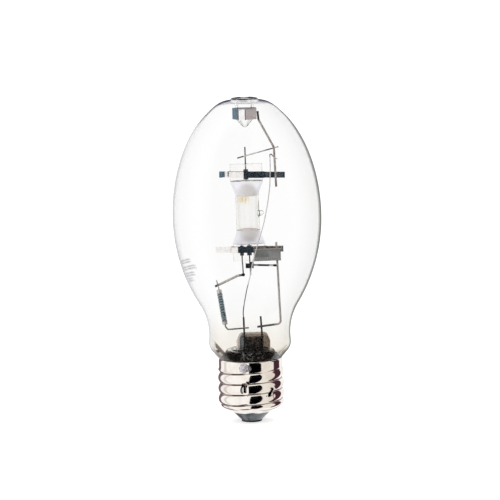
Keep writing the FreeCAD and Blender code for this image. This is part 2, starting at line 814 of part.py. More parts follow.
def arc_tube_body(skin):
    """The round body between two pressed ends, grown outwards by the given skin."""
    low = tube_section(arc_body_radius + skin, arc_body_radius + skin, 2, -arc_body_half_length)
    pieces = []
    for end in (1, -1):
        sections = pinch_sections(skin, end)
        pieces.append(Part.makeLoft(sections, True, False))
        pieces.append(Part.Face(sections[-1]).extrude(Vec(0, 0, end * pinch_length)))
    return Part.Face(low).extrude(Vec(0, 0, 2 * arc_body_half_length)).fuse(pieces)


def leaned(shape):
    """Leans a piece of the arc tube, built upright about the origin, and lifts it to its place."""
    shape.rotate(Vec(0, 0, 0), Y_AXIS, -arc_tube_lean)
    shape.translate(Vec(arc_tube_x, 0, arc_tube_z))
    return shape


def upright_wire(points, diameter, bend):
    return bent_wire([(x, 0, z) for x, z in points], diameter, bend)


def foil(x, width, end):
    """A thin foil inside a pinch; end is 1 for the upper pinch and -1 for the lower."""
    middle = end * (foil_outer - foil_half_length)
    low = Vec(x - width / 2, -foil_thickness / 2, middle - foil_half_length)
    return Part.makeBox(width, foil_thickness, 2 * foil_half_length, low)


def electrode(x, end):
    """A tungsten shank with a short winding behind its tip."""
    shank = Part.makeCylinder(electrode_radius, foil_inner - electrode_reach)
    pitch = 0.9 * electrode_coil_wire
    rings = []
    for i in range(electrode_coil_turns):
        rings.append(Part.makeTorus(electrode_radius + 0.45 * electrode_coil_wire, electrode_coil_wire / 2,
                                    Vec(0, 0, electrode_coil_start + (i + 0.5) * pitch)))
    shape = shank.fuse(rings)
    if end < 0:
        shape.rotate(Vec(0, 0, 0), X_AXIS, 180)
    shape.translate(Vec(x, 0, end * electrode_reach))
    return shape


def lead_points(name):
    """Upright X and Z of each outer arc lead, from the foil outwards."""
    return {
        "upper": ((upper_lead_offset, foil_outer),
                  (upper_lead_offset, pinch_end + upper_lead_share * (clip_foot_z - pinch_top_z))),
        "lower": ((lower_lead_offset, -foil_outer), (lower_lead_offset, -pinch_end),
                  (lower_lead_offset + lower_lead_kink, -pinch_end - lower_lead_reach)),
        "probe": ((probe_offset, -foil_outer), (probe_offset, -pinch_end),
                  (probe_offset + lower_lead_kink, -pinch_end - probe_lead_reach)),
    }[name]


def arc_lead(name):
    return upright_wire(lead_points(name), arc_lead_diameter, arc_lead_bend)


def starting_probe():
    knee, tip = probe_lean
    return upright_wire(((probe_offset, -foil_inner), (probe_offset + knee, -probe_knee),
                         (probe_offset + tip, -probe_reach)), 2 * probe_radius, probe_bend)


def sealed_parts():
    """The upright conductors of the arc tube, by name."""
    return {
        "upper_foil": foil(upper_lead_offset, main_foil_width, 1),
        "lower_foil": foil(lower_lead_offset, main_foil_width, -1),
        "probe_foil": foil(probe_offset, probe_foil_width, -1),
        "upper_electrode": electrode(upper_lead_offset, 1),
        "lower_electrode": electrode(lower_lead_offset, -1),
        "starting_probe": starting_probe(),
        "upper_arc_lead": arc_lead("upper"),
        "lower_arc_lead": arc_lead("lower"),
        "probe_lead": arc_lead("probe"),
    }


def arc_cavity():
    """The discharge chamber: a straight tube closed by a dome at each end."""
    straight = arc_body_half_length + cavity_dome_reach - cavity_radius
    tube = Part.makeCylinder(cavity_radius, 2 * straight, Vec(0, 0, -straight))
    domes = [Part.makeSphere(cavity_radius, Vec(0, 0, end * straight)) for end in (1, -1)]
    return tube.fuse(domes)


def arc_tube(sealed):
    """Fused quartz: a tube pressed flat at both ends, with the sealed stub of its filling tube."""
    tube = arc_tube_body(0)
    root = Vec(arc_body_radius - tip_off_sink, 0, -tip_off_drop)
    stub = Part.makeCone(tip_off_root_radius, tip_off_tip_radius, tip_off_length, root, X_AXIS)
    far_end = [e for e in stub.Edges if e.BoundBox.XMin > root.x + tip_off_length / 2]
    stub = stub.makeFillet(tip_off_tip_radius * 0.8, far_end)
    stub.rotate(root, Y_AXIS, -tip_off_rise)
    tube = tube.fuse(stub).cut(arc_cavity())
    for piece in sealed.values():
        tube = tube.cut(piece)
    return tube


def heat_coat(end):
    """The white coat over one end of the arc tube, from the straight body to the pinch."""
    low = arc_body_half_length - coat_edge
    high = arc_body_half_length + pinch_run + coat_pinch_overrun
    side = 4 * pinch_half_width
    base = Vec(-side / 2, -side / 2, min(end * low, end * high))
    band = Part.makeBox(side, side, high - low, base)
    outside = arc_tube_body(touch_gap + coat_thickness)
    return outside.common(band).cut(arc_tube_body(touch_gap))


def probe_crossbar(probe_lead):
    """From the probe lead across to the resistor, with the weld bead at the lead."""
    behind_lead = resistor_y + resistor_lead_diameter / 2 + probe_bar_diameter / 2 + touch_gap
    at_lead = [(x, 0, pinch_foot_z - drop) for x, drop in (probe_bar_start, probe_bar_knee)]
    at_resistor = [(resistor_top_x + x, behind_lead, resistor_top_z + z) for x, z in probe_bar_end]
    bar = bent_wire(at_lead + at_resistor, probe_bar_diameter, probe_bar_bend)
    bead = Part.makeSphere(weld_bead_radius, Vec(*at_lead[0]))
    return bar.fuse(bead).cut(probe_lead)


def main_crossbar(lower_arc_lead):
    """From the lower frame rod to the main lead."""
    start_z = pinch_foot_z - crossbar_start_drop
    end_z = pinch_foot_z - crossbar_end_drop
    bar = bent_wire(((crossbar_start_x, 0, start_z), (crossbar_end_x, rod_y, end_z)), crossbar_diameter, 1)
    bead_x = crossbar_end_x - weld_bead_radius - touch_gap
    bead = Part.makeSphere(weld_bead_radius, Vec(bead_x, rod_y, end_z))
    return bar.fuse(bead).cut(lower_arc_lead)


def resistor_axis():
    top = Vec(resistor_top_x, resistor_y, resistor_top_z)
    foot = Vec(resistor_foot_x, resistor_y, press_top_z + resistor_foot_rise)
    return top, foot, unit(top - foot)


def resistor_body():
    top, foot, along = resistor_axis()
    length = (top - foot).Length - 2 * resistor_cap_length
    return Part.makeCylinder(resistor_body_radius, length, foot + along * resistor_cap_length, along)


def resistor_cap(which):
    top, foot, along = resistor_axis()
    base = foot if which == "lower" else top
    inward = along if which == "lower" else along * -1
    cap = Part.makeCylinder(resistor_cap_radius, resistor_cap_length, base, inward)
    rim = [e for e in cap.Edges if (e.CenterOfMass - base).Length < touch_gap]
    return cap.makeFillet(resistor_cap_round, rim)


def resistor_lead(which):
    """A lead that leaves its cap in line with the body before it bends away."""
    top, foot, along = resistor_axis()
    if which == "upper":
        end = top + Vec(resistor_lead_top[0], 0, resistor_lead_top[1])
        route = [top, top + along * resistor_lead_run, end]
    else:
        corner = foot + Vec(resistor_lead_corner[0], 0, -resistor_lead_corner[1])
        across, drop = resistor_lead_end
        end = Vec(stem_lead_x["left"] + across, resistor_y, foot.z - drop)
        route = [foot, foot - along * resistor_lead_run, corner, end]
    return bent_wire(route, resistor_lead_diameter, resistor_lead_bend)


def switch_bracket():
    """A nickel strip welded across the main lead and folded forward to carry the bimetal blade."""
    along_bar = (bracket_right - crossbar_start_x) / (crossbar_end_x - crossbar_start_x)
    foot_y = rod_y * along_bar - crossbar_diameter / 2 - touch_gap
    outline = [(bracket_foot_left, foot_y), (bracket_right, foot_y),
               (bracket_right, bracket_front), (bracket_left, bracket_front)]
    return bent_strip(outline, bracket_sheet, bracket_z - bracket_height / 2, bracket_height, bracket_bend)


def bimetal_blade():
    """The blade that swings on to the probe lead when it is hot."""
    root_y = bracket_front + bracket_sheet + sheet_gap
    low = Vec(bracket_left + touch_gap, root_y, bracket_z - blade_height / 2)
    return Part.makeBox(blade_sheet, blade_tip_y - root_y, blade_height, low)


def build():
    sealed = sealed_parts()
    nodes = {
        "outer_envelope": outer_envelope(),
        "stem_glass": stem_glass(),
        "exhaust_tube": exhaust_tube(),
        "stem_lead_left": stem_lead("left"),
        "stem_lead_right": stem_lead("right"),
        "centre_contact_lead": centre_contact_lead(),
        "shell_lead": shell_lead(),
        "screw_shell": screw_shell(),
        "base_insulator": base_insulator(),
        "centre_contact": centre_contact(),
        "shell_solder": shell_solder(),
        "contact_solder": contact_solder(),
        "dimple_clip": dimple_clip(),
        "upper_frame_rod": upper_frame_rod(),
        "lower_frame_rod": lower_frame_rod(),
        "upper_crossbar": upper_crossbar(),
        "flying_lead": flying_lead(),
        "upper_strap_front": upper_strap(-1),
        "upper_strap_back": upper_strap(1),
        "lower_strap_front": lower_strap(-1),
        "lower_strap_back": lower_strap(1),
        "getter_strip": getter_strip(),
        "arc_tube": leaned(arc_tube(sealed)),
        "upper_heat_coat": leaned(heat_coat(1)),
        "lower_heat_coat": leaned(heat_coat(-1)),
        "resistor_body": resistor_body(),
        "resistor_cap_upper": resistor_cap("upper"),
        "resistor_cap_lower": resistor_cap("lower"),
        "resistor_lead_upper": resistor_lead("upper"),
        "resistor_lead_lower": resistor_lead("lower"),
        "switch_bracket": switch_bracket(),
        "bimetal_blade": bimetal_blade(),
    }
    for name, piece in sealed.items():
        nodes[name] = leaned(piece)
    nodes["probe_crossbar"] = probe_crossbar(nodes["probe_lead"])
    nodes["main_crossbar"] = main_crossbar(nodes["lower_arc_lead"])
    return nodes


def main():
    os.makedirs("parts", exist_ok=True)
    for name, shape in build().items():
        shape.exportStep("parts/" + name + ".step")


main()
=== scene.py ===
import json
import math

import bmesh
import bpy
from mathutils import Matrix, Vector, noise


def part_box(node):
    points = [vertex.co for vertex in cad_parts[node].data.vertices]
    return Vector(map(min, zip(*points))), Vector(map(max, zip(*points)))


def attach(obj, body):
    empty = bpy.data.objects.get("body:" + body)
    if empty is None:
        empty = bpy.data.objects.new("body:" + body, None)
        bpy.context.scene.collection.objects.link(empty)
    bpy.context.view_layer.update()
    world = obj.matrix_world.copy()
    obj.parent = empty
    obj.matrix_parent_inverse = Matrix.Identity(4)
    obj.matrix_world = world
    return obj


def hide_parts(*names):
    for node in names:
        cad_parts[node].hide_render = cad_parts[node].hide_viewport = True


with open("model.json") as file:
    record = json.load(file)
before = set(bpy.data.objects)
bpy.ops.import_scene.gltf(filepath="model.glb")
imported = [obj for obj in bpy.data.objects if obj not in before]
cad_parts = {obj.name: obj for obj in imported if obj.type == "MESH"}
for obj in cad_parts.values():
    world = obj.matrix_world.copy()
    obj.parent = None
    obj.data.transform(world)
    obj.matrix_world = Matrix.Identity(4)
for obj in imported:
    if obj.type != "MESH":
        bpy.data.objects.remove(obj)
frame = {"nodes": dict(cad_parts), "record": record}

MM = 0.001
NODES = frame["nodes"]
SLOTS = {part["node"]: part["material_slot"] for part in frame["record"]["subparts"]}
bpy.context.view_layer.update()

# Numbers that materials and shapes share. Lengths are in millimetres.
PITCH = 6.35
CREST_Z = 17.3
SKIRT_RADIUS = 19.125
RESISTOR_TURNS = 11
RESISTOR_FOOT = Vector((-14.6, -0.67, 59.1))
RESISTOR_HEAD = Vector((-17.8, -0.67, 80.1))
LOWER_CAP = 1.4
BOTH_CAPS = 3.9


# ---- Node helpers ----

def add(tree, kind, inputs=None, **settings):
    """Adds a shader node. Inputs are values or other nodes' output sockets, by name or number."""
    made = tree.nodes.new("ShaderNode" + kind)
    for name, value in settings.items():
        setattr(made, name, value)
    for name, value in (inputs or {}).items():
        if isinstance(value, bpy.types.NodeSocket):
            tree.links.new(value, made.inputs[name])
        else:
            made.inputs[name].default_value = value
    return made


def rgb(red, green, blue):
    return (red, green, blue, 1.0)


def sums(tree, operation, first, second=0.0, third=0.0):
    return add(tree, "Math", {0: first, 1: second, 2: third}, operation=operation).outputs[0]


def blend_colours(tree, factor, first, second, how="MIX"):
    mix = add(tree, "Mix", {0: factor, 6: first, 7: second}, data_type="RGBA", blend_type=how)
    return mix.outputs[2]


def rise(tree, value, low, high, bottom=0.0, top=1.0):
    """Goes smoothly from bottom to top as value goes from low to high."""
    span = {"Value": value, "From Min": low, "From Max": high, "To Min": bottom, "To Max": top}
    return add(tree, "MapRange", span, interpolation_type="SMOOTHSTEP").outputs[0]


def band(tree, value, low, high, soft):
    """1 between low and high, and 0 outside them."""
    inside = rise(tree, value, low - soft, low + soft)
    outside = rise(tree, value, high - soft, high + soft)
    return sums(tree, "SUBTRACT", inside, outside)


def shift(tree, mask, first, second):
    """A number that goes from first to second as the mask goes from 0 to 1."""
    return add(tree, "Mix", {0: mask, 2: first, 3: second}, data_type="FLOAT").outputs[0]


def times(tree, *values):
    """The product of some masks."""
    product = values[0]
    for value in values[1:]:
        product = sums(tree, "MULTIPLY", product, value)
    return product


def hypotenuse(tree, first, second):
    squares = sums(tree, "ADD", times(tree, first, first), times(tree, second, second))
    return sums(tree, "SQRT", squares)


def box_mask(tree, first, second, across, up, soft):
    """1 where the first value lies in the span across and the second in the span up."""
    inside = band(tree, first, across[0], across[1], soft)
    return times(tree, inside, band(tree, second, up[0], up[1], soft))


def place(tree):
    """Object coordinates in millimetres, as separate X, Y and Z."""
    point = add(tree, "TexCoord").outputs["Object"]
    scaled = add(tree, "VectorMath", {0: point, "Scale": 1 / MM}, operation="SCALE").outputs[0]
    split = add(tree, "SeparateXYZ", {0: scaled})
    return scaled, split.outputs[0], split.outputs[1], split.outputs[2]


def squeeze(tree, point, factors):
    """The point with its coordinates multiplied, for a texture that is drawn out one way."""
    return add(tree, "VectorMath", {0: point, 1: factors}, operation="MULTIPLY").outputs[0]


def cloud(tree, point, size, detail=3.0, roughness=0.5):
    """Noise whose lumps are about size millimetres across."""
    return add(tree, "TexNoise", {"Vector": point, "Scale": 1 / size, "Detail": detail,
                                  "Roughness": roughness}).outputs[0]


def make_group(name, sockets_in, sockets_out):
    """A node group, the sockets that bring its inputs in and those that take its results out."""
    group = bpy.data.node_groups.new(name, "ShaderNodeTree")
    new_socket = group.interface.new_socket
    for label, kind, value in sockets_in:
        socket = new_socket(name=label, in_out="INPUT", socket_type="NodeSocket" + kind)
        socket.default_value = value
    for label, kind in sockets_out:
        new_socket(name=label, in_out="OUTPUT", socket_type="NodeSocket" + kind)
    given = group.nodes.new("NodeGroupInput").outputs
    return group, given, group.nodes.new("NodeGroupOutput").inputs


def build_metal_grain():
    """Handled metal: cloudy tarnish, a mottled gloss and a fine unevenness of the surface."""
    group, given, out = make_group("metal_grain", [
        ("Bright", "Color", (0.7, 0.7, 0.7, 1)), ("Tarnish", "Color", (0.4, 0.4, 0.4, 1)),
        ("Patch Size", "Float", 3.0), ("Grain Size", "Float", 0.4),
        ("Gloss Low", "Float", 0.2), ("Gloss High", "Float", 0.4),
    ], [("Colour", "Color"), ("Roughness", "Float"), ("Height", "Float")])
    point = place(group)[0]
    wide_scale = sums(group, "DIVIDE", 1.0, given["Patch Size"])
    fine_scale = sums(group, "DIVIDE", 1.0, given["Grain Size"])
    wide = add(group, "TexNoise", {"Vector": point, "Scale": wide_scale, "Detail": 4.0}).outputs[0]
    fine = add(group, "TexNoise", {"Vector": point, "Scale": fine_scale, "Detail": 2.0}).outputs[0]
    patch = rise(group, wide, 0.38, 0.68)
    colour = blend_colours(group, patch, given["Bright"], given["Tarnish"])
    mean = sums(group, "MULTIPLY_ADD", fine, 0.5, sums(group, "MULTIPLY", wide, 0.5))
    mottle = rise(group, mean, 0.35, 0.65)
    span = sums(group, "SUBTRACT", given["Gloss High"], given["Gloss Low"])
    group.links.new(colour, out["Colour"])
    group.links.new(sums(group, "MULTIPLY_ADD", mottle, span, given["Gloss Low"]), out["Roughness"])
    group.links.new(fine, out["Height"])
    return group


def build_glass_edge():
    """Painted shade on glass: a grey tint where it turns away and a darker painted line where it is
    edge-on, standing in for what the glass reflects and bends there.
    """
    group, given, out = make_group("glass_edge", [
        ("Facing", "Float", 0.0), ("Clear", "Color", (1, 1, 1, 1)),
        ("Edge Shade", "Color", (0.9, 0.9, 0.9, 1)), ("Line", "Color", (0.5, 0.5, 0.5, 1)),
        ("Haze Start", "Float", 0.3), ("Line Start", "Float", 0.7), ("Line Full", "Float", 0.85),
    ], [("Colour", "Color")])
    edge_shade = rise(group, given["Facing"], given["Haze Start"], given["Line Start"])
    line = rise(group, given["Facing"], given["Line Start"], given["Line Full"])
    colour = blend_colours(group, edge_shade, given["Clear"], given["Edge Shade"])
    group.links.new(blend_colours(group, line, colour, given["Line"]), out["Colour"])
    return group


METAL_GRAIN = build_metal_grain()
GLASS_EDGE = build_glass_edge()


def start(name, **values):
    """A new material and its shader, with constants set on the shader's own sockets."""
    material = bpy.data.materials.new(name)
    material.use_nodes = True
    shader = material.node_tree.nodes["Principled BSDF"]
    for label, value in values.items():
        shader.inputs[label.replace("_", " ")].default_value = value
    return material, material.node_tree, shader


def bump(tree, shader, height, depth, strength=1.0):
    """depth is in millimetres."""
    made = add(tree, "Bump", {"Height": height, "Distance": depth * MM, "Strength": strength})
    tree.links.new(made.outputs[0], shader.inputs["Normal"])


def metal(name, bright, tarnish, gloss, patch=3.0, grain=0.4, depth=0.004):
    """gloss holds the lowest and highest roughness. patch, grain and depth are in millimetres."""
    material, tree, shader = start(name, Metallic=1.0)
    grain_node = add(tree, "Group", {
        "Bright": rgb(*bright), "Tarnish": rgb(*tarnish), "Patch Size": patch, "Grain Size": grain,
        "Gloss Low": gloss[0], "Gloss High": gloss[1],
    }, node_tree=METAL_GRAIN)
    tree.links.new(grain_node.outputs["Colour"], shader.inputs["Base Color"])
    tree.links.new(grain_node.outputs["Roughness"], shader.inputs["Roughness"])
    bump(tree, shader, grain_node.outputs["Height"], depth)
    return material


def opened(material):
    """A metal's node tree, its shader and the colour that it has so far."""
    tree = material.node_tree
    shader = tree.nodes["Principled BSDF"]
    return tree, shader, shader.inputs["Base Color"].links[0].from_socket


def spotted(name, bright, tarnish, gloss, spots, soft=0.25):
    """Metal with spots of other colours in places; on the straps these are painted reflections. A
    spot is a colour, a span of x and a span of z.
    """
    material = metal(name, bright, tarnish, gloss, 2.0)
    tree, shader, colour = opened(material)
    point, x, _, z = place(tree)
    mottle = cloud(tree, point, 1.0)
    for tint, across, up in spots:
        dark = rgb(*(0.72 * value for value in tint))
        light = rgb(*(min(1.0, 1.28 * value) for value in tint))
        mixed = blend_colours(tree, mottle, dark, light)
        colour = blend_colours(tree, box_mask(tree, x, z, across, up, soft), colour, mixed)
    tree.links.new(colour, shader.inputs["Base Color"])
    return material


def glass_edge(tree, clear, edge_shade, line, starts):
    """Paints shade on glass by how far it turns away. starts holds where the painted edge shade
    starts, where the painted line starts and where the line is full."""
    facing = add(tree, "LayerWeight", {"Blend": 0.5}).outputs["Facing"]
    made = add(tree, "Group", {
        "Facing": facing, "Clear": clear, "Edge Shade": edge_shade, "Line": line, "Haze Start": starts[0],
        "Line Start": starts[1], "Line Full": starts[2],
    }, node_tree=GLASS_EDGE)
    return made.outputs["Colour"]


# ---- Materials ----

# The nearest and farthest y of each row of etched bars, and its height.
ETCHED_SLOPE = 0.25
ETCHED_ROWS = ((-23.4, -8.0, 95.8), (-25.8, -9.2, 91.8), (-22.5, -9.5, 88.1), (-18.9, -10.8, 85.0))


def etched_bars(tree, x, y, z):
    """Faint plain bars where the photo's glass is etched, with no lettering."""
    mask = 0.0
    lean = sums(tree, "MULTIPLY_ADD", y, ETCHED_SLOPE, z)
    for near, far, middle in ETCHED_ROWS:
        for low in (middle - 1.2, middle + 0.2):
            height = band(tree, lean, low, low + 0.95, 0.15)
            bar = times(tree, band(tree, y, near, far, 0.3), height)
            mask = sums(tree, "ADD", mask, bar)
    gaps = sums(tree, "FRACT", sums(tree, "MULTIPLY", y, 0.17))
    return times(tree, mask, rise(tree, gaps, 0.06, 0.12), rise(tree, x, 0.0, -1.0))


def bulb_line(tree, x, z):
    """Painted reflection on the glass where it is seen edge-on: dark on the right, lilac on the
    left, pale on the right shoulder and navy at the crown."""
    # Painted reflection: each of these colours stands in for what the edge-on glass reflects.
    right = band(tree, z, 102.0, 162.0, 9.0)
    right = blend_colours(tree, right, rgb(0.84, 0.85, 0.82), rgb(0.15, 0.16, 0.155))
    left = band(tree, z, 80.0, 112.0, 8.0)
    left = blend_colours(tree, left, rgb(0.76, 0.76, 0.775), rgb(0.64, 0.64, 0.66))
    line = blend_colours(tree, rise(tree, x, -10.0, 15.0), left, right)
    shoulder = times(tree, rise(tree, z, 158.0, 172.0), rise(tree, x, 8.0, 14.0))
    line = blend_colours(tree, shoulder, line, rgb(0.86, 0.85, 0.82))
    crown = times(tree, rise(tree, z, 175.0, 187.0), rise(tree, x, 13.0, 10.0))
    line = blend_colours(tree, crown, line, rgb(0.09, 0.10, 0.14))
    return blend_colours(tree, rise(tree, z, 193.8, 194.3), line, rgb(0.84, 0.84, 0.82))


def neck_painted_reflections(tree, colour, x, y, z):
    """Painted reflections of the dark inside of the base on the cone above the rim: brown streaks
    and a spot on the left, a pale curve and a brown-grey patch on the right.
    """
    near = rise(tree, y, 0.0, -1.0)
    along = sums(tree, "MULTIPLY_ADD", x, 0.98, z)
    # Painted reflection of the dark base inside: a brown patch and a streak on the left.
    left = times(tree, rise(tree, x, -13.0, -17.0), rise(tree, z, 46.5, 41.5), near)
    colour = blend_colours(tree, times(tree, left, 0.8), colour, rgb(0.20, 0.165, 0.13))
    streak = times(tree, band(tree, along, 27.3, 30.4, 0.5), band(tree, x, -20.6, -14.2, 0.8), near)
    colour = blend_colours(tree, times(tree, streak, 0.9), colour, rgb(0.11, 0.085, 0.06))
    across = sums(tree, "ADD", x, 19.1)
    up = sums(tree, "SUBTRACT", z, 45.0)
    spot = times(tree, rise(tree, hypotenuse(tree, across, up), 1.4, 0.6), near)
    colour = blend_colours(tree, spot, colour, rgb(0.06, 0.02, 0.01))
    # Painted reflection: a pale curve where the neck's inner side is edge-on, and a brown-grey
    # patch.
    beyond = sums(tree, "MULTIPLY_ADD", x, -0.74, z)
    curve = times(tree, band(tree, beyond, 30.8, 31.7, 0.3), band(tree, x, 16.0, 21.5, 0.8), near)
    colour = blend_colours(tree, times(tree, curve, 0.7), colour, rgb(0.42, 0.35, 0.29))
    right = times(tree, rise(tree, x, 12.0, 15.5), rise(tree, z, 46.5, 43.0), near)
    brown = rise(tree, z, 43.5, 41.5)
    brown = blend_colours(tree, brown, rgb(0.36, 0.31, 0.26), rgb(0.30, 0.33, 0.35))
    return blend_colours(tree, times(tree, right, 0.8), colour, brown)


def bulb_glass():
    """Clear blown glass, warmer towards the base. Its uneven outline, the cone above the base and a
    dark line round its crown are painted reflections and painted shade."""
    material, tree, shader = start("bulb_glass", Transmission_Weight=1.0, IOR=1.25, Roughness=0.0)
    point, x, y, z = place(tree)
    line = bulb_line(tree, x, z)
    # Painted reflection of the dark base inside: the outline turns dark brown low down on the left.
    low = times(tree, rise(tree, z, 46.5, 43.5), rise(tree, x, 10.0, -10.0))
    line = blend_colours(tree, low, line, rgb(0.10, 0.08, 0.06))
    away = hypotenuse(tree, x, y)
    # Painted reflection: a grey edge-on line round the dimple.
    well = times(tree, rise(tree, away, 5.6, 5.0), rise(tree, z, 170.0, 176.0))
    line = blend_colours(tree, well, line, rgb(0.30, 0.31, 0.33))
    # Painted shade where the glass turns away, greyer on the right.
    edge_shade = rise(tree, x, -8.0, 14.0)
    edge_shade = blend_colours(tree, edge_shade, rgb(0.955, 0.955, 0.96), rgb(0.89, 0.895, 0.885))
    warm = rise(tree, z, 70.0, 42.0)
    clear = blend_colours(tree, warm, rgb(0.999, 0.999, 0.998), rgb(0.95, 0.93, 0.89))
    edge_shade = blend_colours(tree, warm, edge_shade, rgb(0.84, 0.81, 0.76))
    right = rise(tree, x, -10.0, 15.0)
    # The painted edge line is wider and darker at the crown.
    crown = times(tree, rise(tree, z, 175.0, 185.0), rise(tree, x, 14.0, 11.0))
    line_start = shift(tree, crown, rise(tree, right, 0.0, 1.0, 0.62, 0.78), 0.84)
    line_full = shift(tree, crown, rise(tree, right, 0.0, 1.0, 0.92, 0.87), 0.95)
    starts = (rise(tree, right, 0.0, 1.0, 0.30, 0.12), shift(tree, well, line_start, 0.34),
              shift(tree, well, line_full, 0.64))
    colour = glass_edge(tree, clear, edge_shade, line, starts)
    # Painted dark reflection in a line round the crown's shoulder and lip.
    shoulder = times(tree, rise(tree, z, 191.0, 191.8), band(tree, y, -3.0, 9.0, 1.0),
                     rise(tree, away, 7.6, 8.6), rise(tree, x, 13.5, 12.0))
    lip = times(tree, rise(tree, z, 194.15, 194.4), rise(tree, y, 0.5, -1.5))
    crown_line = sums(tree, "MAXIMUM", shoulder, lip)
    colour = blend_colours(tree, crown_line, colour, rgb(0.012, 0.014, 0.025))
    colour = neck_painted_reflections(tree, colour, x, y, z)
    etched = etched_bars(tree, x, y, z)
    colour = blend_colours(tree, times(tree, etched, 0.7), colour, rgb(0.40, 0.38, 0.42))
    tree.links.new(colour, shader.inputs["Base Color"])
    bump(tree, shader, cloud(tree, point, 18.0, 1.0), 0.05, 0.6)
    return material


def quartz():
    """Fused quartz of the arc tube, with a straw-coloured film of salts under the upper coat."""
    material, tree, shader = start("quartz", Transmission_Weight=1.0, IOR=1.46, Roughness=0.03)
    point, x, _, z = place(tree)
    film = band(tree, z, 132.2, 137.0, 1.6)
    speckle = rise(tree, cloud(tree, point, 1.6, 5.0, 0.7), 0.42, 0.6)
    film = times(tree, film, speckle, rise(tree, x, 3.5, -2.0), 0.8)
    clear = blend_colours(tree, film, rgb(0.975, 0.97, 0.96), rgb(0.80, 0.62, 0.30))
    # Painted shade where the quartz turns away, and a painted line where it is edge-on.
    colour = glass_edge(tree, clear, rgb(0.87, 0.865, 0.84), rgb(0.80, 0.785, 0.74),
                        (0.10, 0.45, 0.9))
    tree.links.new(colour, shader.inputs["Base Color"])
    bump(tree, shader, cloud(tree, point, 4.0, 2.0), 0.06, 0.5)
    return material


def stem_glass():
    """The stem's glass: black where it was pressed on to the leads, and painted black down its
    flare as shade for the dark inside of the base behind it. A coat on the flare gives it a few
    glints."""
    material, tree, shader = start("stem_glass", Transmission_Weight=1.0, IOR=1.15, Roughness=0.04,
                                   Coat_IOR=2.1, Coat_Roughness=0.15)
    point, x, _, z = place(tree)
    streaks = cloud(tree, squeeze(tree, point, (1.0, 1.0, 0.15)), 1.2)
    burnt = rise(tree, streaks, 0.45, 0.65)
    burnt = blend_colours(tree, burnt, rgb(0.003, 0.002, 0.002), rgb(0.05, 0.035, 0.028))
    lobe = rise(tree, x, -2.0, 2.0)
    lobe = blend_colours(tree, lobe, rgb(0.11, 0.125, 0.14), rgb(0.16, 0.125, 0.10))
    crest = times(tree, rise(tree, z, 50.6, 52.6), band(tree, x, -2.5, 7.0, 1.0))
    lobe = blend_colours(tree, crest, lobe, rgb(0.34, 0.26, 0.20))
    seal = times(tree, band(tree, x, -3.6, 8.0, 0.5), rise(tree, z, 52.0, 50.4))
    clear = blend_colours(tree, seal, lobe, burnt)
    # The press's outline is a rounded box about x = 2.75 that ends at z = 53.9. edge is 1 on it.
    aside = sums(tree, "ABSOLUTE", sums(tree, "MULTIPLY_ADD", x, 0.1026, -0.282))
    above = sums(tree, "MAXIMUM", sums(tree, "MULTIPLY_ADD", z, 0.1266, -5.823), 0.0)
    edge = sums(tree, "ADD", sums(tree, "POWER", aside, 4.0), sums(tree, "POWER", above, 4.0))
    rim = blend_colours(tree, rise(tree, x, 0.0, 5.0), rgb(0.42, 0.38, 0.36), rgb(0.50, 0.42, 0.36))
    dark_line = times(tree, band(tree, edge, 0.52, 0.64, 0.05), 0.8)
    clear = blend_colours(tree, dark_line, clear, rgb(0.05, 0.04, 0.035))
    clear = blend_colours(tree, rise(tree, edge, 0.62, 0.72), clear, rim)
    beside = times(tree, rise(tree, edge, 1.0, 1.1), rise(tree, x, 3.0, -3.0))
    clear = blend_colours(tree, beside, clear, rgb(0.93, 0.91, 0.87))
    # Painted shade: the flare is near black, for the dark inside of the base behind it.
    flare = rise(tree, z, 43.6, 42.8)
    flat = squeeze(tree, point, (1.0, 0.0, 1.0))
    glints = rise(tree, cloud(tree, flat, 1.6, 4.0, 0.7), 0.51, 0.58)
    glints = times(tree, glints, rise(tree, z, 38.0, 41.0), band(tree, x, -5.5, 7.5, 1.5))
    clear = blend_colours(tree, flare, clear, rgb(0.004, 0.003, 0.003))
    tree.links.new(times(tree, glints, flare), shader.inputs["Coat Weight"])
    tree.links.new(clear, shader.inputs["Base Color"])
    bump(tree, shader, streaks, 0.05, 0.5)
    return material


def base_inside_shade():
    """Painted shade on the inner wall of the base: near black and dull, with brown mottle as
    painted glints.
    """
    material, tree, shader = start("base_inside_shade", Roughness=0.6)
    point = place(tree)[0]
    # Painted brown glints in the painted black shade.
    painted_mottle = rise(tree, cloud(tree, point, 4.0, 3.0), 0.4, 0.7)
    colour = blend_colours(tree, painted_mottle, rgb(0.008, 0.006, 0.006), rgb(0.03, 0.016, 0.012))
    tree.links.new(colour, shader.inputs["Base Color"])
    return material


# The first and last bearing in degrees of each stretch of painted shade in the thread's root, and
# its colour.
ROOT_SHADE = ((-175.0, -118.0, (0.40, 0.31, 0.32)), (-128.0, -102.0, (0.09, 0.055, 0.045)))


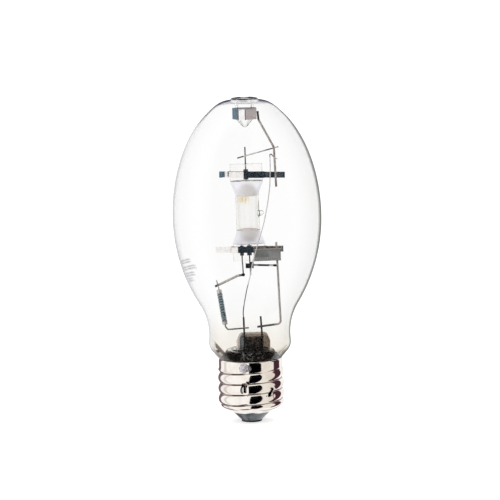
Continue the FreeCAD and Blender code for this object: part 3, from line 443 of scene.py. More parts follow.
def shell_plate():
    """Bright nickel plate on rolled brass sheet, dull in the thread's root, with painted shade
    there that is darker in two stretches.
    """
    material = metal("shell_plate", (0.96, 0.93, 0.90), (0.86, 0.80, 0.75), (0.035, 0.10),
                     patch=6.0, grain=0.5, depth=0.003)
    tree, shader, plain = opened(material)
    _, x, y, z = place(tree)
    gloss = shader.inputs["Roughness"].links[0].from_socket
    turn = sums(tree, "DIVIDE", sums(tree, "ARCTAN2", y, x), math.tau)
    phase = sums(tree, "MULTIPLY_ADD", z, 1 / PITCH, -CREST_Z / PITCH)
    phase = sums(tree, "SUBTRACT", phase, turn)
    away = sums(tree, "ABSOLUTE", sums(tree, "SUBTRACT", sums(tree, "FRACT", phase), 0.5))
    # Painted shade in the thread's root, where the turns crease.
    root = times(tree, rise(tree, away, 0.07, 0.035), band(tree, z, 11.0, 31.5, 1.0))
    colour = blend_colours(tree, root, plain, rgb(0.52, 0.45, 0.41))
    wide_root = times(tree, rise(tree, away, 0.095, 0.055), band(tree, z, 9.5, 32.5, 1.0))
    # Painted shade, mauve or dark, over stretches of the root.
    for first, last, shade_tint in ROOT_SHADE:
        stretch = band(tree, sums(tree, "MULTIPLY", turn, 360.0), first, last, 4.0)
        colour = blend_colours(tree, times(tree, wide_root, stretch), colour, rgb(*shade_tint))
    tree.links.new(colour, shader.inputs["Base Color"])
    tree.links.new(shift(tree, root, gloss, 0.5), shader.inputs["Roughness"])
    return material


def insulator_glass():
    """Dark slate-blue vitreous insulator."""
    material, tree, shader = start("insulator_glass", Roughness=0.3, Coat_Weight=0.6,
                                   Coat_Roughness=0.12)
    point = place(tree)[0]
    streaks = cloud(tree, squeeze(tree, point, (0.5, 0.5, 2.0)), 1.8, 4.0)
    worn = rise(tree, streaks, 0.4, 0.7)
    colour = blend_colours(tree, worn, rgb(0.045, 0.065, 0.085), rgb(0.13, 0.17, 0.21))
    tree.links.new(colour, shader.inputs["Base Color"])
    bump(tree, shader, streaks, 0.05)
    return material


# The x and z in millimetres of the middle of each of the chamber's domes.
DOMES = ((0.3, 137.6), (0.9, 115.2))


def dome_mask(tree, x, z, centre_x, centre_z):
    """Where the painted shade of the chamber's dome lies on the coat, seen from the front."""
    across = sums(tree, "SUBTRACT", x, centre_x)
    up = sums(tree, "SUBTRACT", z, centre_z)
    return rise(tree, hypotenuse(tree, across, up), 7.8, 4.4)


def heat_coat():
    """The sprayed zirconia coat: matt and faintly lilac, with painted shade where the chamber's
    dome is behind it, stronger to the right, and a painted pale top edge. A faint painted glow
    keeps its top edge and inner back face from turning black inside the glass."""
    material, tree, shader = start("heat_coat", Roughness=0.85, Emission_Strength=1.0)
    point, x, y, z = place(tree)
    fine = cloud(tree, point, 0.35, 4.0)
    cloudy = cloud(tree, point, 3.0, 2.0)
    colour = blend_colours(tree, cloudy, rgb(0.80, 0.79, 0.84), rgb(0.90, 0.89, 0.93))
    # The painted shade of the dome is stronger to the right.
    depth = rise(tree, x, -7.0, 1.0, 0.35, 0.9)
    for centre_x, centre_z in DOMES:
        dome = times(tree, dome_mask(tree, x, z, centre_x, centre_z), depth)
        colour = blend_colours(tree, dome, colour, rgb(0.56, 0.53, 0.515))
    # Painted light: the upper coat's top edge is near white.
    colour = blend_colours(tree, rise(tree, z, 145.5, 145.8), colour, rgb(0.98, 0.98, 0.98))
    tree.links.new(colour, shader.inputs["Base Color"])
    # Painted glow on the inner back face and the top edge; the coat is no lamp.
    lit_back = times(tree, band(tree, z, 112.5, 117.0, 0.5), rise(tree, y, 0.5, 2.0))
    glow = blend_colours(tree, lit_back, rgb(0.0, 0.0, 0.0), rgb(0.34, 0.30, 0.285))
    glow = blend_colours(tree, rise(tree, z, 145.2, 145.6), glow, rgb(0.45, 0.44, 0.45))
    tree.links.new(glow, shader.inputs["Emission Color"])
    bump(tree, shader, fine, 0.03)
    return material


def resistor_glaze():
    """Teal-grey glazed winding, with painted shade in its grooves."""
    material, tree, shader = start("resistor_glaze", Roughness=0.35, Coat_Weight=0.3,
                                   Coat_Roughness=0.2)
    point = place(tree)[0]
    foot, along, length = resistor_line()
    offset = add(tree, "VectorMath", {0: point, 1: tuple(foot)}, operation="SUBTRACT").outputs[0]
    reach = add(tree, "VectorMath", {0: offset, 1: tuple(along)}, operation="DOT_PRODUCT")
    reach = reach.outputs["Value"]
    turn = sums(tree, "FRACT", sums(tree, "MULTIPLY", reach, RESISTOR_TURNS / length))
    worn = rise(tree, cloud(tree, point, 0.8, 4.0), 0.35, 0.7)
    colour = blend_colours(tree, worn, rgb(0.11, 0.165, 0.19), rgb(0.32, 0.42, 0.45))
    # Painted shade: the grooves between turns are near black.
    colour = blend_colours(tree, band(tree, turn, 0.2, 0.8, 0.12), rgb(0.012, 0.02, 0.025), colour)
    burnt = rise(tree, cloud(tree, point, 0.9, 2.0), 0.45, 0.6)
    burnt = times(tree, band(tree, reach, 3.6, 6.4, 0.8), burnt)
    colour = blend_colours(tree, burnt, colour, rgb(0.008, 0.008, 0.01))
    tree.links.new(colour, shader.inputs["Base Color"])
    bump(tree, shader, cloud(tree, point, 0.2), 0.01)
    return material


def resistor_line():
    """The foot of the winding between its caps, the way up it and its length, in millimetres."""
    whole = RESISTOR_HEAD - RESISTOR_FOOT
    along = whole.normalized()
    return RESISTOR_FOOT + along * LOWER_CAP, along, whole.length - BOTH_CAPS


def getter_face():
    """Dull getter strip: mid grey, with pale ridges and a slanting change of tone."""
    material = metal("getter_face", (0.31, 0.31, 0.31), (0.25, 0.25, 0.25), (0.35, 0.55), 4.0)
    tree, shader, plain = opened(material)
    _, x, _, z = place(tree)
    slant = rise(tree, sums(tree, "MULTIPLY_ADD", z, 0.4, x), 52.4, 53.2)
    colour = blend_colours(tree, slant, rgb(0.78, 0.78, 0.79), rgb(1.0, 1.0, 1.0))
    tint = blend_colours(tree, 1.0, plain, colour, "MULTIPLY")
    ridges = band(tree, sums(tree, "FRACT", sums(tree, "MULTIPLY", x, 0.9)), 0.3, 0.8, 0.15)
    pale = blend_colours(tree, ridges, rgb(0.27, 0.27, 0.26), rgb(0.42, 0.42, 0.41))
    tint = blend_colours(tree, band(tree, z, 97.7, 99.3, 0.2), tint, pale)
    tint = blend_colours(tree, rise(tree, z, 103.2, 103.7), tint, rgb(0.34, 0.31, 0.28))
    tree.links.new(tint, shader.inputs["Base Color"])
    return material


def clip_face():
    """Spring band with painted reflections: dark blue on its left flat, bright in the middle and
    pink-grey on the right, with painted dark lines at its folds; stained above.
    """
    material = metal("clip_face", (0.97, 0.96, 0.96), (0.90, 0.87, 0.87), (0.15, 0.3))
    tree, shader, colour = opened(material)
    point, x, _, z = place(tree)
    mottle = cloud(tree, point, 0.8, 3.0)
    # Painted reflection: the right flat is pink-grey.
    painted_mottle = blend_colours(tree, mottle, rgb(0.62, 0.55, 0.55), rgb(0.80, 0.73, 0.73))
    colour = blend_colours(tree, rise(tree, x, 0.3, 0.5), colour, painted_mottle)
    # Painted reflection: the left flat is dark blue.
    left_flat_reflection = blend_colours(tree, mottle, rgb(0.05, 0.10, 0.145), rgb(0.11, 0.18, 0.25))
    colour = blend_colours(tree, rise(tree, x, -3.6, -3.9), colour, left_flat_reflection)
    # Painted shade in dark lines at the folds between flats.
    edges = sums(tree, "ADD", band(tree, x, -4.0, -3.5, 0.12), band(tree, x, 0.1, 0.55, 0.12))
    colour = blend_colours(tree, edges, colour, rgb(0.05, 0.05, 0.06))
    ragged = rise(tree, sums(tree, "MULTIPLY_ADD", mottle, 2.2, z), 189.0, 189.3)
    ragged = times(tree, ragged, rise(tree, x, -4.0, -3.4))
    colour = blend_colours(tree, ragged, colour, rgb(0.50, 0.46, 0.46))
    tree.links.new(colour, shader.inputs["Base Color"])
    return material


def side_solder_face():
    """Lumpy grey-lilac solder with a brown burn at its upper right."""
    material = metal("side_solder_face", (0.72, 0.70, 0.75), (0.44, 0.40, 0.45), (0.2, 0.45),
                     patch=1.2, grain=0.3, depth=0.05)
    tree, shader, plain = opened(material)
    _, x, _, z = place(tree)
    burn = times(tree, rise(tree, x, -1.8, -0.6), rise(tree, z, 35.9, 36.7))
    colour = blend_colours(tree, burn, plain, rgb(0.16, 0.08, 0.045))
    tree.links.new(colour, shader.inputs["Base Color"])
    return material


# Dark colours for spots on the wires and straps.
DARK_BLUE = (0.018, 0.030, 0.040)
SLATE = (0.055, 0.075, 0.090)
# The finish of each material slot.
FINISHES = {
    "clear_glass": bulb_glass(),
    "stem_glass": stem_glass(),
    "quartz": quartz(),
    "plated_shell": shell_plate(),
    "insulator": insulator_glass(),
    "contact_brass": metal("contact_brass", (0.10, 0.075, 0.065), (0.035, 0.025, 0.022),
                           (0.25, 0.5), 2.0),
    "solder": side_solder_face(),
    "spring_steel": clip_face(),
    "frame_steel": metal("frame_steel", (0.46, 0.42, 0.40), (0.28, 0.24, 0.22), (0.2, 0.4), 2.0),
    "nickel_wire": metal("nickel_wire", (0.40, 0.37, 0.37), (0.24, 0.22, 0.22), (0.2, 0.4), 2.0),
    # The straps' dark spots are painted reflections of the dark room, on their right arms and
    # curls.
    "strap_steel": spotted("strap_steel", (0.93, 0.905, 0.88), (0.86, 0.82, 0.80), (0.2, 0.35), (
        (DARK_BLUE, (-1.5, 40.0), (140.0, 160.0)), (SLATE, (9.6, 13.4), (140.0, 160.0)),
        (SLATE, (18.0, 22.0), (140.0, 160.0)), ((0.10, 0.16, 0.22), (-20.0, -12.6), (140.0, 160.0)),
        (DARK_BLUE, (-5.9, 3.6), (99.0, 108.0)), ((0.20, 0.175, 0.16), (3.6, 20.3), (99.0, 108.0)),
        (SLATE, (20.3, 30.0), (99.0, 108.0)),
    )),
    "getter_steel": getter_face(),
    "bimetal": metal("bimetal", (0.05, 0.05, 0.055), (0.02, 0.02, 0.022), (0.25, 0.45)),
    "heat_coat": heat_coat(),
    "resistor_ceramic": resistor_glaze(),
    "resistor_cap": metal("resistor_cap", (0.60, 0.54, 0.52), (0.30, 0.25, 0.24), (0.2, 0.4), 1.5),
    "foil": metal("foil", (0.40, 0.40, 0.43), (0.28, 0.28, 0.30), (0.3, 0.5)),
    "tungsten": metal("tungsten", (0.35, 0.33, 0.33), (0.22, 0.21, 0.21), (0.3, 0.5)),
}


# A span that holds the whole lamp, and the colours and gloss of the frame's wire.
ANY = (-99.0, 999.0)
WIRE = ((0.46, 0.42, 0.40), (0.28, 0.24, 0.22), (0.2, 0.4))
DARK_WIRE = metal("dark_wire", (0.065, 0.075, 0.085), (0.03, 0.035, 0.04), (0.25, 0.45), 2.0)
ARC_WIRE = spotted("arc_wire", (0.30, 0.28, 0.30), (0.18, 0.17, 0.18), (0.2, 0.4), (
    (DARK_BLUE, ANY, (97.0, 120.0)),
))
# Finishes of single nodes, which go before their slots' finishes.
NODE_FINISHES = {
    "upper_frame_rod": spotted("upper_rod", *WIRE, (
        ((0.03, 0.026, 0.024), ANY, (181.6, 200.0)),
    )),
    "lower_frame_rod": spotted("lower_rod", *WIRE, (
        ((0.10, 0.105, 0.10), (4.0, 14.5), (50.0, 61.0)),
    )),
    "main_crossbar": spotted("main_bar", (0.62, 0.60, 0.56), (0.45, 0.42, 0.39), (0.2, 0.4), (
        (DARK_BLUE, (5.8, 12.6), ANY), ((0.01, 0.01, 0.012), (14.8, 18.0), ANY),
    )),
    "upper_crossbar": spotted("upper_bar", (0.66, 0.64, 0.59), (0.45, 0.43, 0.40), (0.2, 0.4), (
        ((0.14, 0.13, 0.12), (-9.0, -1.2), ANY), ((0.20, 0.19, 0.18), (12.4, 16.8), ANY),
    )),
    "probe_crossbar": spotted("probe_bar", (0.52, 0.49, 0.44), (0.36, 0.33, 0.30), (0.2, 0.4), (
        ((0.05, 0.05, 0.06), (-30.0, -18.0), ANY), ((0.16, 0.15, 0.14), (-5.6, 0.0), ANY),
        ((0.015, 0.013, 0.012), (-4.2, 0.0), ANY),
    )),
    "flying_lead": spotted("flying_wire", (0.66, 0.63, 0.63), (0.50, 0.47, 0.48), (0.2, 0.4), (
        ((0.045, 0.05, 0.06), ANY, (50.0, 71.0)), ((0.22, 0.20, 0.19), ANY, (71.0, 84.0)),
        ((0.08, 0.08, 0.085), (12.0, 30.0), (159.6, 170.0)),
    ), soft=1.2),
    "stem_lead_left": DARK_WIRE, "stem_lead_right": DARK_WIRE, "lower_arc_lead": ARC_WIRE,
    "probe_lead": ARC_WIRE,
    "upper_arc_lead": spotted("upper_arc_wire", (0.20, 0.18, 0.20), (0.12, 0.11, 0.12),
                              (0.2, 0.4), ((DARK_BLUE, ANY, (140.0, 155.4)),)),
    "resistor_lead_lower": metal("lower_resistor_wire", (0.26, 0.25, 0.23), (0.16, 0.15, 0.14),
                                 (0.2, 0.4), 2.0),
    "switch_bracket": spotted("bracket", (0.03, 0.033, 0.038), (0.015, 0.016, 0.018), (0.3, 0.5), (
        ((0.30, 0.30, 0.30), (2.9, 9.0), ANY),
    )),
}
# How much fatter all round than their solids two thin wires are, in millimetres.
FATTER = {"probe_crossbar": 0.22, "resistor_lead_lower": 0.12}


# ---- Making pieces ----

def finish_piece(name, bm, node, sharp):
    """Turns a bmesh into a piece that stands for a CAD node. Corners over sharp degrees show."""
    mesh = bpy.data.meshes.new(name)
    bm.to_mesh(mesh)
    bm.free()
    mesh.shade_smooth()
    mesh.set_sharp_from_angle(angle=math.radians(sharp))
    piece = bpy.data.objects.new(name, mesh)
    bpy.context.scene.collection.objects.link(piece)
    mesh.materials.append(NODE_FINISHES.get(node) or FINISHES[SLOTS[node]])
    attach(piece, "lamp")
    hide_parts(node)
    return piece


def merged_copy(node):
    """A copy of a CAD node's triangles, merged so that it can be shaded smooth."""
    bm = bmesh.new()
    bm.from_mesh(NODES[node].data)
    bmesh.ops.remove_doubles(bm, verts=bm.verts, dist=0.001 * MM)
    return bm


def arc_points(centre, radius, first, last, count):
    """Points on a circle as (radius, height) pairs, without the first one."""
    points = []
    for i in range(1, count + 1):
        angle = math.radians(first + (last - first) * i / count)
        points.append((centre[0] + radius * math.cos(angle), centre[1] + radius * math.sin(angle)))
    return points


def line_points(first, last, count):
    """Points on a straight line as (radius, height) pairs, without the first one."""
    points = []
    for i in range(1, count + 1):
        points.append(tuple(a + (b - a) * i / count for a, b in zip(first, last)))
    return points


def spun(profile, steps, soften=0):
    """Spins a profile of (radius, height) pairs in millimetres about the lamp's axis."""
    bm = bmesh.new()
    verts = [bm.verts.new((r * MM, 0, z * MM)) for r, z in profile]
    edges = [bm.edges.new(pair) for pair in zip(verts, verts[1:])]
    for _ in range(soften):
        bmesh.ops.smooth_vert(bm, verts=verts[1:-1], factor=0.5, use_axis_x=True, use_axis_z=True)
    bmesh.ops.spin(bm, geom=verts + edges, cent=(0, 0, 0), axis=(0, 0, 1), dvec=(0, 0, 0),
                   angle=math.tau, steps=steps, use_merge=True)
    bmesh.ops.remove_doubles(bm, verts=bm.verts, dist=0.0005 * MM)
    bmesh.ops.recalc_face_normals(bm, faces=bm.faces)
    return bm


def thicken(piece, wall, inside=None):
    """Gives an outer skin its wall, inwards. The wall's inner face can have a finish of its own."""
    solid = piece.modifiers.new("wall", "SOLIDIFY")
    if inside:
        piece.data.materials.append(inside)
        solid.material_offset = 1
    solid.thickness = wall * MM
    solid.offset = -1.0
    solid.use_even_offset = True
    return piece


# ---- Glass bulb ----

NECK_RADIUS = 17.2
BELLY_RADIUS = 44.4
BELLY_Z = 124.0
CROWN_RISE = 71.8
CROWN_END = 80.427
CROWN_STEPS = 70
BULB_WALL = 1.1


def bulb_profile():
    """The outside of the glass, from the end of the neck up and over into the dimple."""
    points = [(NECK_RADIUS, 24.0)]
    points += line_points(points[-1], (NECK_RADIUS, 36.6), 16)
    points += line_points(points[-1], (22.641, 43.089), 12)
    points += arc_points((17.03, 48.21), 7.6, -42.39, 7.19, 12)
    points += arc_points((58.3, 53.41), 34.0, 187.18, 148.21, 30)
    points += arc_points((-55.6, BELLY_Z), 100.0, -31.79, 0.0, 50)
    # The crown's last steps are left off, where the flat top's own points take over.
    for i in range(1, 55):
        turn = math.radians(CROWN_END * i / CROWN_STEPS)
        points.append((BELLY_RADIUS * math.cos(turn), BELLY_Z + CROWN_RISE * math.sin(turn)))
    points += [(19.6, 188.75), (18.3, 189.85), (16.8, 191.0), (15.2, 192.0), (13.6, 192.75),
               (12.0, 193.22), (10.4, 193.42), (9.2, 193.45), (8.5, 193.5)]
    points += arc_points((6.9, 193.5), 1.4, 0.0, 180.0, 14)
    points += [(5.0, 192.2), (4.4, 190.9), (4.15, 189.5)]
    points += line_points(points[-1], (4.1, 182.53), 10)
    points += line_points(points[-1], (0.766, 178.556), 8)
    points += arc_points((0.0, 179.2), 1.0, -40.0, -90.0, 5)
    return points


def make_bulb():
    piece = finish_piece("bulb", spun(bulb_profile(), 224, soften=3), "outer_envelope", sharp=60.0)
    piece.visible_shadow = False
    return thicken(piece, BULB_WALL)


# ---- Screw shell ----

SHELL_WALL = 0.35
THREAD_FOOT = 8.0
THREAD_TOP = 33.4
THREAD_DEPTH = 1.25
CREST_SHARE = 0.96
# Bearing in degrees and height of each stake mark, and the room that its details take up.
STAKES = ((-102.0, 22.4), (-52.0, 19.8))
STAKE_RADIUS = 19.1
STAKE_ROOM = (3.4, 4.2)
STAKE_DEPTH = 0.45
STAKE_LIP = 0.22


def thread_wave(distance):
    """Height of the rolled thread: a broad round crest and a narrower round valley."""
    flank = 2 * math.atan(2 * THREAD_DEPTH / PITCH)
    round_sum = PITCH / 2 / math.sin(flank)
    crest_round = CREST_SHARE * round_sum
    valley_round = round_sum - crest_round
    reach = abs(distance)
    if reach < CREST_SHARE * PITCH / 2:
        return THREAD_DEPTH / 2 - crest_round + math.sqrt(crest_round ** 2 - reach ** 2)
    reach = PITCH / 2 - reach
    return -THREAD_DEPTH / 2 + valley_round - math.sqrt(valley_round ** 2 - reach ** 2)


def smooth_step(value):
    value = max(0.0, min(1.0, value))
    return value * value * (3 - 2 * value)


def stake_frame(co, bearing, height):
    """Distances across and along a stake mark, in millimetres."""
    turn = math.atan2(co.y, co.x) - math.radians(bearing)
    turn = (turn + math.pi) % math.tau - math.pi
    return turn * STAKE_RADIUS, co.z / MM - height


def in_stake(across, along):
    return abs(across) < STAKE_ROOM[0] and abs(along) < STAKE_ROOM[1]


def slit_bend(along):
    """How far the right stake's curved slit lies to one side."""
    return 0.9 * math.sin(along * 0.9 + 0.4) + 0.12 * along


def stake_dent(number, across, along):
    """How deep the shell is struck inwards there, from 0 to 1, and how much its lip stands out."""
    if number == 0:
        half = 1.75 - 0.18 * along
        inside = math.exp(-(across / half) ** 4 - (along / 2.9) ** 6)
        lip = math.exp(-((math.hypot(across, along * 0.62) - 2.5) / 0.7) ** 2)
        return inside, lip
    across -= slit_bend(along)
    inside = math.exp(-(across / 0.95) ** 2 - (along / 2.7) ** 6)
    lip = math.exp(-((abs(across) - 1.7) / 0.6) ** 2 - (along / 3.2) ** 4)
    return inside, lip


def stake_hole(number, across, along):
    """The left stake is a punched arch with a tongue, the right one a curved slit."""
    if number == 0:
        arch = abs(across) < 1.6 and 1.3 < along < 2.4
        leg = -0.5 < across < 1.25 and -2.2 < along < 1.6
        toe = abs(across + 1.5 + 0.12 * along) < 0.22 and -2.5 < along < 0.9
        return arch or leg or toe
    across -= slit_bend(along)
    return abs(across) < 1.05 * math.sqrt(max(0.0, 1 - (along / 2.7) ** 4))


def make_shell():
    """A plain shell with its stakes cut out, which is then rolled into the thread and struck."""
    points = [(18.434, 38.6)] + arc_points((16.925, 37.0), 2.2, 46.66, 0.0, 8)
    points += line_points(points[-1], (SKIRT_RADIUS, 12.996), 96)
    points += arc_points((14.125, 12.996), 5.0, 0.0, -63.0, 18)
    points += line_points(points[-1], (11.6, 6.1), 14)
    bm = spun(points, 240)
    near = []
    for face in bm.faces:
        centre = face.calc_center_median()
        for stake in STAKES:
            if in_stake(*stake_frame(centre, *stake)):
                near.append(face)
    edges = list({edge for face in near for edge in face.edges})
    bmesh.ops.subdivide_edges(bm, edges=edges, cuts=2, use_grid_fill=True)
    holes = []
    for face in bm.faces:
        centre = face.calc_center_median()
        for number, stake in enumerate(STAKES):
            across, along = stake_frame(centre, *stake)
            if in_stake(across, along) and stake_hole(number, across, along):
                holes.append(face)
    bmesh.ops.delete(bm, geom=holes, context="FACES")
    for vert in bm.verts:
        co = vert.co
        z = co.z / MM
        radius = math.hypot(co.x, co.y)
        turn = math.atan2(co.y, co.x) / math.tau
        phase = (z - CREST_Z) / PITCH - turn
        phase = (phase + 0.5) % 1.0 - 0.5
        fade = smooth_step((THREAD_TOP - z) / 2.0) * smooth_step((z - THREAD_FOOT) / 4.0)
        swell = fade * thread_wave(phase * PITCH)
        for number, stake in enumerate(STAKES):
            across, along = stake_frame(co, *stake)
            if abs(across) < 6.0 and abs(along) < 7.0:
                dent, lip = stake_dent(number, across, along)
                swell += STAKE_LIP * lip - STAKE_DEPTH * dent
        scale = 1 + swell * MM / radius
        vert.co = Vector((co.x * scale, co.y * scale, co.z))
    piece = finish_piece("rolled_shell", bm, "screw_shell", sharp=75.0)
    return thicken(piece, SHELL_WALL, base_inside_shade())


# ---- Foot of the base ----

SOLDER_BEARING = -100.5
SOLDER_Z = 35.1


def make_insulator():
    points = [(1.3, 0.9), (5.6, 0.9), (6.2, 0.95)]
    points += line_points(points[-1], (11.2, 5.9), 10)
    points += [(11.34, 6.2), (11.34, 6.5)]
    points += line_points(points[-1], (14.6, 8.1), 4)
    points += [(14.7, 8.4), (14.7, 10.8), (14.5, 11.0), (1.3, 11.0), (1.3, 0.9)]
    return finish_piece("insulator", spun(points, 96), "base_insulator", sharp=40.0)


def make_contact():
    points = [(1.2, 0.9), (1.2, 0.0), (5.75, 0.0)]
    points += arc_points((5.75, 0.45), 0.45, -90.0, 0.0, 5)
    points += [(6.2, 0.75)] + arc_points((6.05, 0.75), 0.15, 0.0, 90.0, 3) + [(1.2, 0.9)]
    return finish_piece("contact_disc", spun(points, 72), "centre_contact", sharp=40.0)


def make_side_solder():
    """A run-out lump of solder on the skirt, uneven and thin at its rim."""
    bm = bmesh.new()
    bmesh.ops.create_icosphere(bm, subdivisions=5, radius=1.0)
    for vert in bm.verts:
        co = vert.co.copy()
        ragged = 1 + 0.34 * noise.noise(co * 2.1) + 0.20 * noise.noise(co * 5.0)
        lumps = 0.22 * noise.noise(Vector((co.y * 4, co.z * 4, 0.5)))
        across = co.y * 3.5 * ragged
        up = co.z * 2.6 * ragged
        swell = max(co.x, -0.4) * (0.62 + lumps) - across * across / (2 * STAKE_RADIUS)
        vert.co = Vector((19.12 + swell, across, SOLDER_Z + up)) * MM
    round_base = Matrix.Rotation(math.radians(SOLDER_BEARING), 3, "Z")
    bmesh.ops.rotate(bm, verts=bm.verts, cent=(0, 0, 0), matrix=round_base)
    return finish_piece("side_solder", bm, "shell_solder", sharp=180.0)


# ---- Pieces inside the bulb ----

# The x in millimetres at which each strap's left arm starts.
STRAPS = {
    "upper_strap_front": -5.0, "upper_strap_back": -5.0,
    "lower_strap_front": -8.6, "lower_strap_back": -8.6,
}
STRAP_SLANT = 0.075
STRAP_TILT = 0.35


def make_strap(node, turn_x):
    """The strap's left arm stands back a little from its right arm."""
    bm = merged_copy(node)
    middle = middle_z(node)
    bmesh.ops.bisect_plane(bm, geom=bm.verts[:] + bm.edges[:] + bm.faces[:], dist=1e-7,
                           plane_co=(turn_x * MM, 0, middle), plane_no=(1, 0, STRAP_TILT))
    for vert in bm.verts:
        past = turn_x * MM - vert.co.x - STRAP_TILT * (vert.co.z - middle)
        if past > 0:
            vert.co.y += STRAP_SLANT * past
    return finish_piece(node.replace("strap", "band"), bm, node, sharp=25.0)


def middle_z(node):
    low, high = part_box(node)
    return (low.z + high.z) / 2


def make_resistor_body():
    """A close winding under glaze, so its outline is finely ribbed."""
    foot, along, length = resistor_line()
    points = [(0.0, 0.0), (1.2, 0.0)]
    step = length / RESISTOR_TURNS
    for i in range(RESISTOR_TURNS):
        for share, radius in ((0.06, 1.25), (0.2, 1.58), (0.5, 1.72), (0.8, 1.58), (0.94, 1.25)):
            points.append((radius, (i + share) * step))
    points += [(1.2, length), (0.0, length)]
    bm = spun(points, 32)
    turn = Vector((0, 0, 1)).rotation_difference(along).to_matrix()
    bmesh.ops.rotate(bm, verts=bm.verts, cent=(0, 0, 0), matrix=turn)
    bmesh.ops.translate(bm, verts=bm.verts, vec=foot * MM)
    return finish_piece("resistor_winding", bm, "resistor_body", sharp=60.0)


# Nodes shown as smooth copies of their solids, and the angle in degrees that counts as a corner.
SMOOTHED = {
    "arc_tube": 50.0, "upper_heat_coat": 50.0, "lower_heat_coat": 50.0, "stem_glass": 50.0,
    "exhaust_tube": 50.0, "upper_frame_rod": 40.0, "lower_frame_rod": 40.0, "upper_crossbar": 40.0,
    "main_crossbar": 40.0, "probe_crossbar": 40.0, "flying_lead": 40.0, "stem_lead_left": 40.0,
    "stem_lead_right": 40.0, "centre_contact_lead": 40.0, "shell_lead": 40.0,
    "upper_arc_lead": 40.0, "lower_arc_lead": 40.0, "probe_lead": 40.0, "upper_electrode": 40.0,
    "lower_electrode": 40.0,
    "starting_probe": 40.0, "resistor_cap_upper": 40.0, "resistor_cap_lower": 40.0,
    "resistor_lead_upper": 40.0, "resistor_lead_lower": 40.0, "getter_strip": 25.0,
    "switch_bracket": 25.0, "dimple_clip": 20.0, "contact_solder": 40.0,
}
# Pieces that cast no shadow.
CLEAR_PIECES = ("arc_tube", "stem_glass", "exhaust_tube", "upper_heat_coat", "lower_heat_coat")


def make_pieces():
    make_bulb()
    make_shell()
    make_insulator()
    make_contact()
    make_side_solder()
    make_resistor_body()
    for node, turn_x in STRAPS.items():
        make_strap(node, turn_x)
    for node, sharp in SMOOTHED.items():
        bm = merged_copy(node)
        if node in FATTER:
            bm.normal_update()
            for vert in bm.verts:
                vert.co += vert.normal * FATTER[node] * MM
        piece = finish_piece(node + "_smooth", bm, node, sharp)
        if node in CLEAR_PIECES:
            piece.visible_shadow = False
    # Nodes with no piece of their own show their solids, in the same finishes.
    for node, part in NODES.items():
        part.data.materials.clear()
        part.data.materials.append(NODE_FINISHES.get(node) or FINISHES[SLOTS[node]])


# ---- Studio ----

FLOOR_GLOW = 0.52
CAMERA_AIM = Vector((1.3, 0.0, 103.5)) * MM
CAMERA_DOWN = 8.0
CAMERA_DISTANCE = 2.2
LAMP_LEAN = -1.36


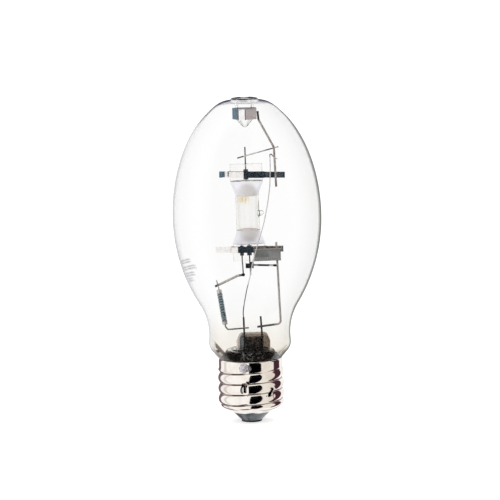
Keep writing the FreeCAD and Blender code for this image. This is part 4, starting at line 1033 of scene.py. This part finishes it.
def make_world():
    """White behind the lamp. What it reflects is a white tent with a few dark openings, whose spans
    of bearing and height are in degrees."""
    world = bpy.data.worlds.new("studio")
    bpy.context.scene.world = world
    world.use_nodes = True
    tree = world.node_tree
    tree.nodes.clear()
    way = add(tree, "TexCoord").outputs["Generated"]
    x, y, z = add(tree, "SeparateXYZ", {0: way}).outputs
    bearing = sums(tree, "DEGREES", sums(tree, "ARCTAN2", x, sums(tree, "MULTIPLY", y, -1.0)))
    height = sums(tree, "DEGREES", sums(tree, "ARCSINE", z))
    # Reflected in the bare metal of the base.
    shell = rgb(1.0, 0.985, 0.96)
    for span, reach, tint, soft in (
        ((34.0, 96.0), (-60.0, 60.0), rgb(0.84, 0.80, 0.73), 8.0),
        ((-112.0, -98.0), (-50.0, 40.0), rgb(0.74, 0.71, 0.68), 3.0),
        ((-6.0, 39.0), (-73.0, 54.0), rgb(0.0005, 0.0005, 0.001), 1.0),
        ((92.0, 128.0), (-52.0, 46.0), rgb(0.06, 0.022, 0.035), 2.0),
        ((-164.0, -134.0), (-52.0, 46.0), rgb(0.19, 0.14, 0.165), 3.0),
        ((-150.0, -60.0), (-90.0, -68.0), rgb(0.25, 0.17, 0.17), 2.0),
        ((-64.0, -24.0), (-90.0, -64.0), rgb(0.04, 0.025, 0.025), 1.5),
        ((164.0, 172.0), (-52.0, 46.0), rgb(0.35, 0.33, 0.33), 2.0),
    ):
        patch = box_mask(tree, bearing, height, span, reach, soft)
        shell = blend_colours(tree, patch, shell, tint)
    # Reflected in the pieces inside the bulb.
    patch = box_mask(tree, bearing, height, (14.0, 60.0), (-60.0, 60.0), 8.0)
    within = blend_colours(tree, patch, rgb(1.0, 1.0, 1.0), rgb(0.40, 0.38, 0.37))
    # Reflected in the bulb's glass.
    # A span of turned that starts below 0 has no soft edge there.
    bulb = rgb(1.0, 1.0, 1.0)
    whole = sums(tree, "FLOORED_MODULO", bearing, 360.0)
    turned = sums(tree, "ABSOLUTE", bearing)
    for way_round, span, reach, tint, soft in (
        (whole, (182.0, 204.0), (-45.0, 2.0), rgb(0.78, 0.78, 0.80), 3.0),
        (whole, (154.0, 178.0), (-45.0, 8.0), rgb(0.32, 0.33, 0.31), 3.0),
        (whole, (168.0, 196.0), (8.0, 20.0), rgb(0.42, 0.42, 0.50), 2.5),
        (whole, (174.0, 196.0), (4.0, 9.5), rgb(0.03, 0.033, 0.05), 1.5),
        (whole, (171.0, 187.0), (-4.0, 10.5), rgb(0.03, 0.033, 0.05), 1.5),
        (turned, (-9.0, 200.0), (-120.0, -50.0), rgb(0.10, 0.08, 0.07), 3.0),
        (turned, (-9.0, 70.0), (-50.0, 70.0), rgb(0.30, 0.30, 0.30), 12.0),
    ):
        patch = box_mask(tree, way_round, height, span, reach, soft)
        bulb = blend_colours(tree, patch, bulb, tint)
    rays = add(tree, "LightPath").outputs
    outside = sums(tree, "LESS_THAN", rays["Transmission Depth"], 0.5)
    outside = times(tree, outside, sums(tree, "SUBTRACT", 1.0, rays["Is Singular Ray"]))
    shallow = sums(tree, "LESS_THAN", rays["Transmission Depth"], 2.5)
    colour = blend_colours(tree, shallow, within, bulb)
    colour = blend_colours(tree, outside, colour, shell)
    seen = sums(tree, "MAXIMUM", rays["Is Camera Ray"], rays["Is Transmission Ray"])
    mirrored = sums(tree, "GREATER_THAN", rays["Glossy Depth"], 0.5)
    shown = blend_colours(tree, seen, rgb(0.80, 0.80, 0.80), rgb(1.0, 1.0, 1.0))
    shown = blend_colours(tree, mirrored, shown, colour)
    back = add(tree, "Background", {"Color": shown, "Strength": 1.0})
    out = add(tree, "OutputWorld")
    tree.links.new(back.outputs[0], out.inputs["Surface"])


def make_floor():
    """A pale floor that glows for the camera, so that it is white but for the lamp's shadow."""
    material = bpy.data.materials.new("pale_floor")
    material.use_nodes = True
    tree = material.node_tree
    tree.nodes.clear()
    rays = add(tree, "LightPath").outputs
    seen = sums(tree, "MAXIMUM", rays["Is Camera Ray"], rays["Is Transmission Ray"])
    matt = add(tree, "BsdfDiffuse", {"Color": rgb(0.86, 0.86, 0.86)})
    strength = sums(tree, "MULTIPLY", seen, FLOOR_GLOW)
    glow = add(tree, "Emission", {"Color": rgb(1, 1, 1), "Strength": strength})
    both = add(tree, "AddShader", {0: matt.outputs[0], 1: glow.outputs[0]})
    out = add(tree, "OutputMaterial")
    tree.links.new(both.outputs[0], out.inputs["Surface"])
    bm = bmesh.new()
    bmesh.ops.create_grid(bm, x_segments=1, y_segments=1, size=20.0)
    mesh = bpy.data.meshes.new("floor")
    bm.to_mesh(mesh)
    bm.free()
    mesh.materials.append(material)
    floor = bpy.data.objects.new("floor", mesh)
    bpy.context.scene.collection.objects.link(floor)
    floor.visible_glossy = False
    floor.visible_transmission = False


def make_lamp(name, position, target, size, power):
    data = bpy.data.lights.new(name, "AREA")
    data.shape = "RECTANGLE"
    data.size, data.size_y = size
    data.energy = power
    lamp = bpy.data.objects.new(name, data)
    bpy.context.scene.collection.objects.link(lamp)
    lamp.location = position
    lamp.rotation_euler = (Vector(target) - Vector(position)).to_track_quat("-Z", "Y").to_euler()
    lamp.visible_glossy = False
    lamp.visible_transmission = False


def make_camera():
    elevation = math.radians(CAMERA_DOWN)
    data = bpy.data.cameras.new("photo_view")
    data.lens = 265.3
    data.sensor_width = 36.0
    data.clip_end = 100.0
    camera = bpy.data.objects.new("photo_view", data)
    bpy.context.scene.collection.objects.link(camera)
    back = Vector((0.0, -math.cos(elevation), math.sin(elevation)))
    roll = Matrix.Rotation(math.radians(LAMP_LEAN), 4, "Z")
    upright = back.to_track_quat("Z", "Y").to_matrix().to_4x4()
    camera.matrix_world = Matrix.Translation(CAMERA_AIM + back * CAMERA_DISTANCE) @ upright @ roll
    bpy.context.scene.camera = camera


def make_studio():
    make_world()
    make_floor()
    make_lamp("left_box", (-1.6, -1.4, 1.3), (0, 0, 0.1), (1.2, 1.2), 9.0)
    make_lamp("right_box", (1.6, -1.2, 1.3), (0, 0, 0.1), (1.2, 1.2), 7.0)
    make_camera()
    bpy.context.scene.view_settings.view_transform = "Standard"


make_pieces()
make_studio()
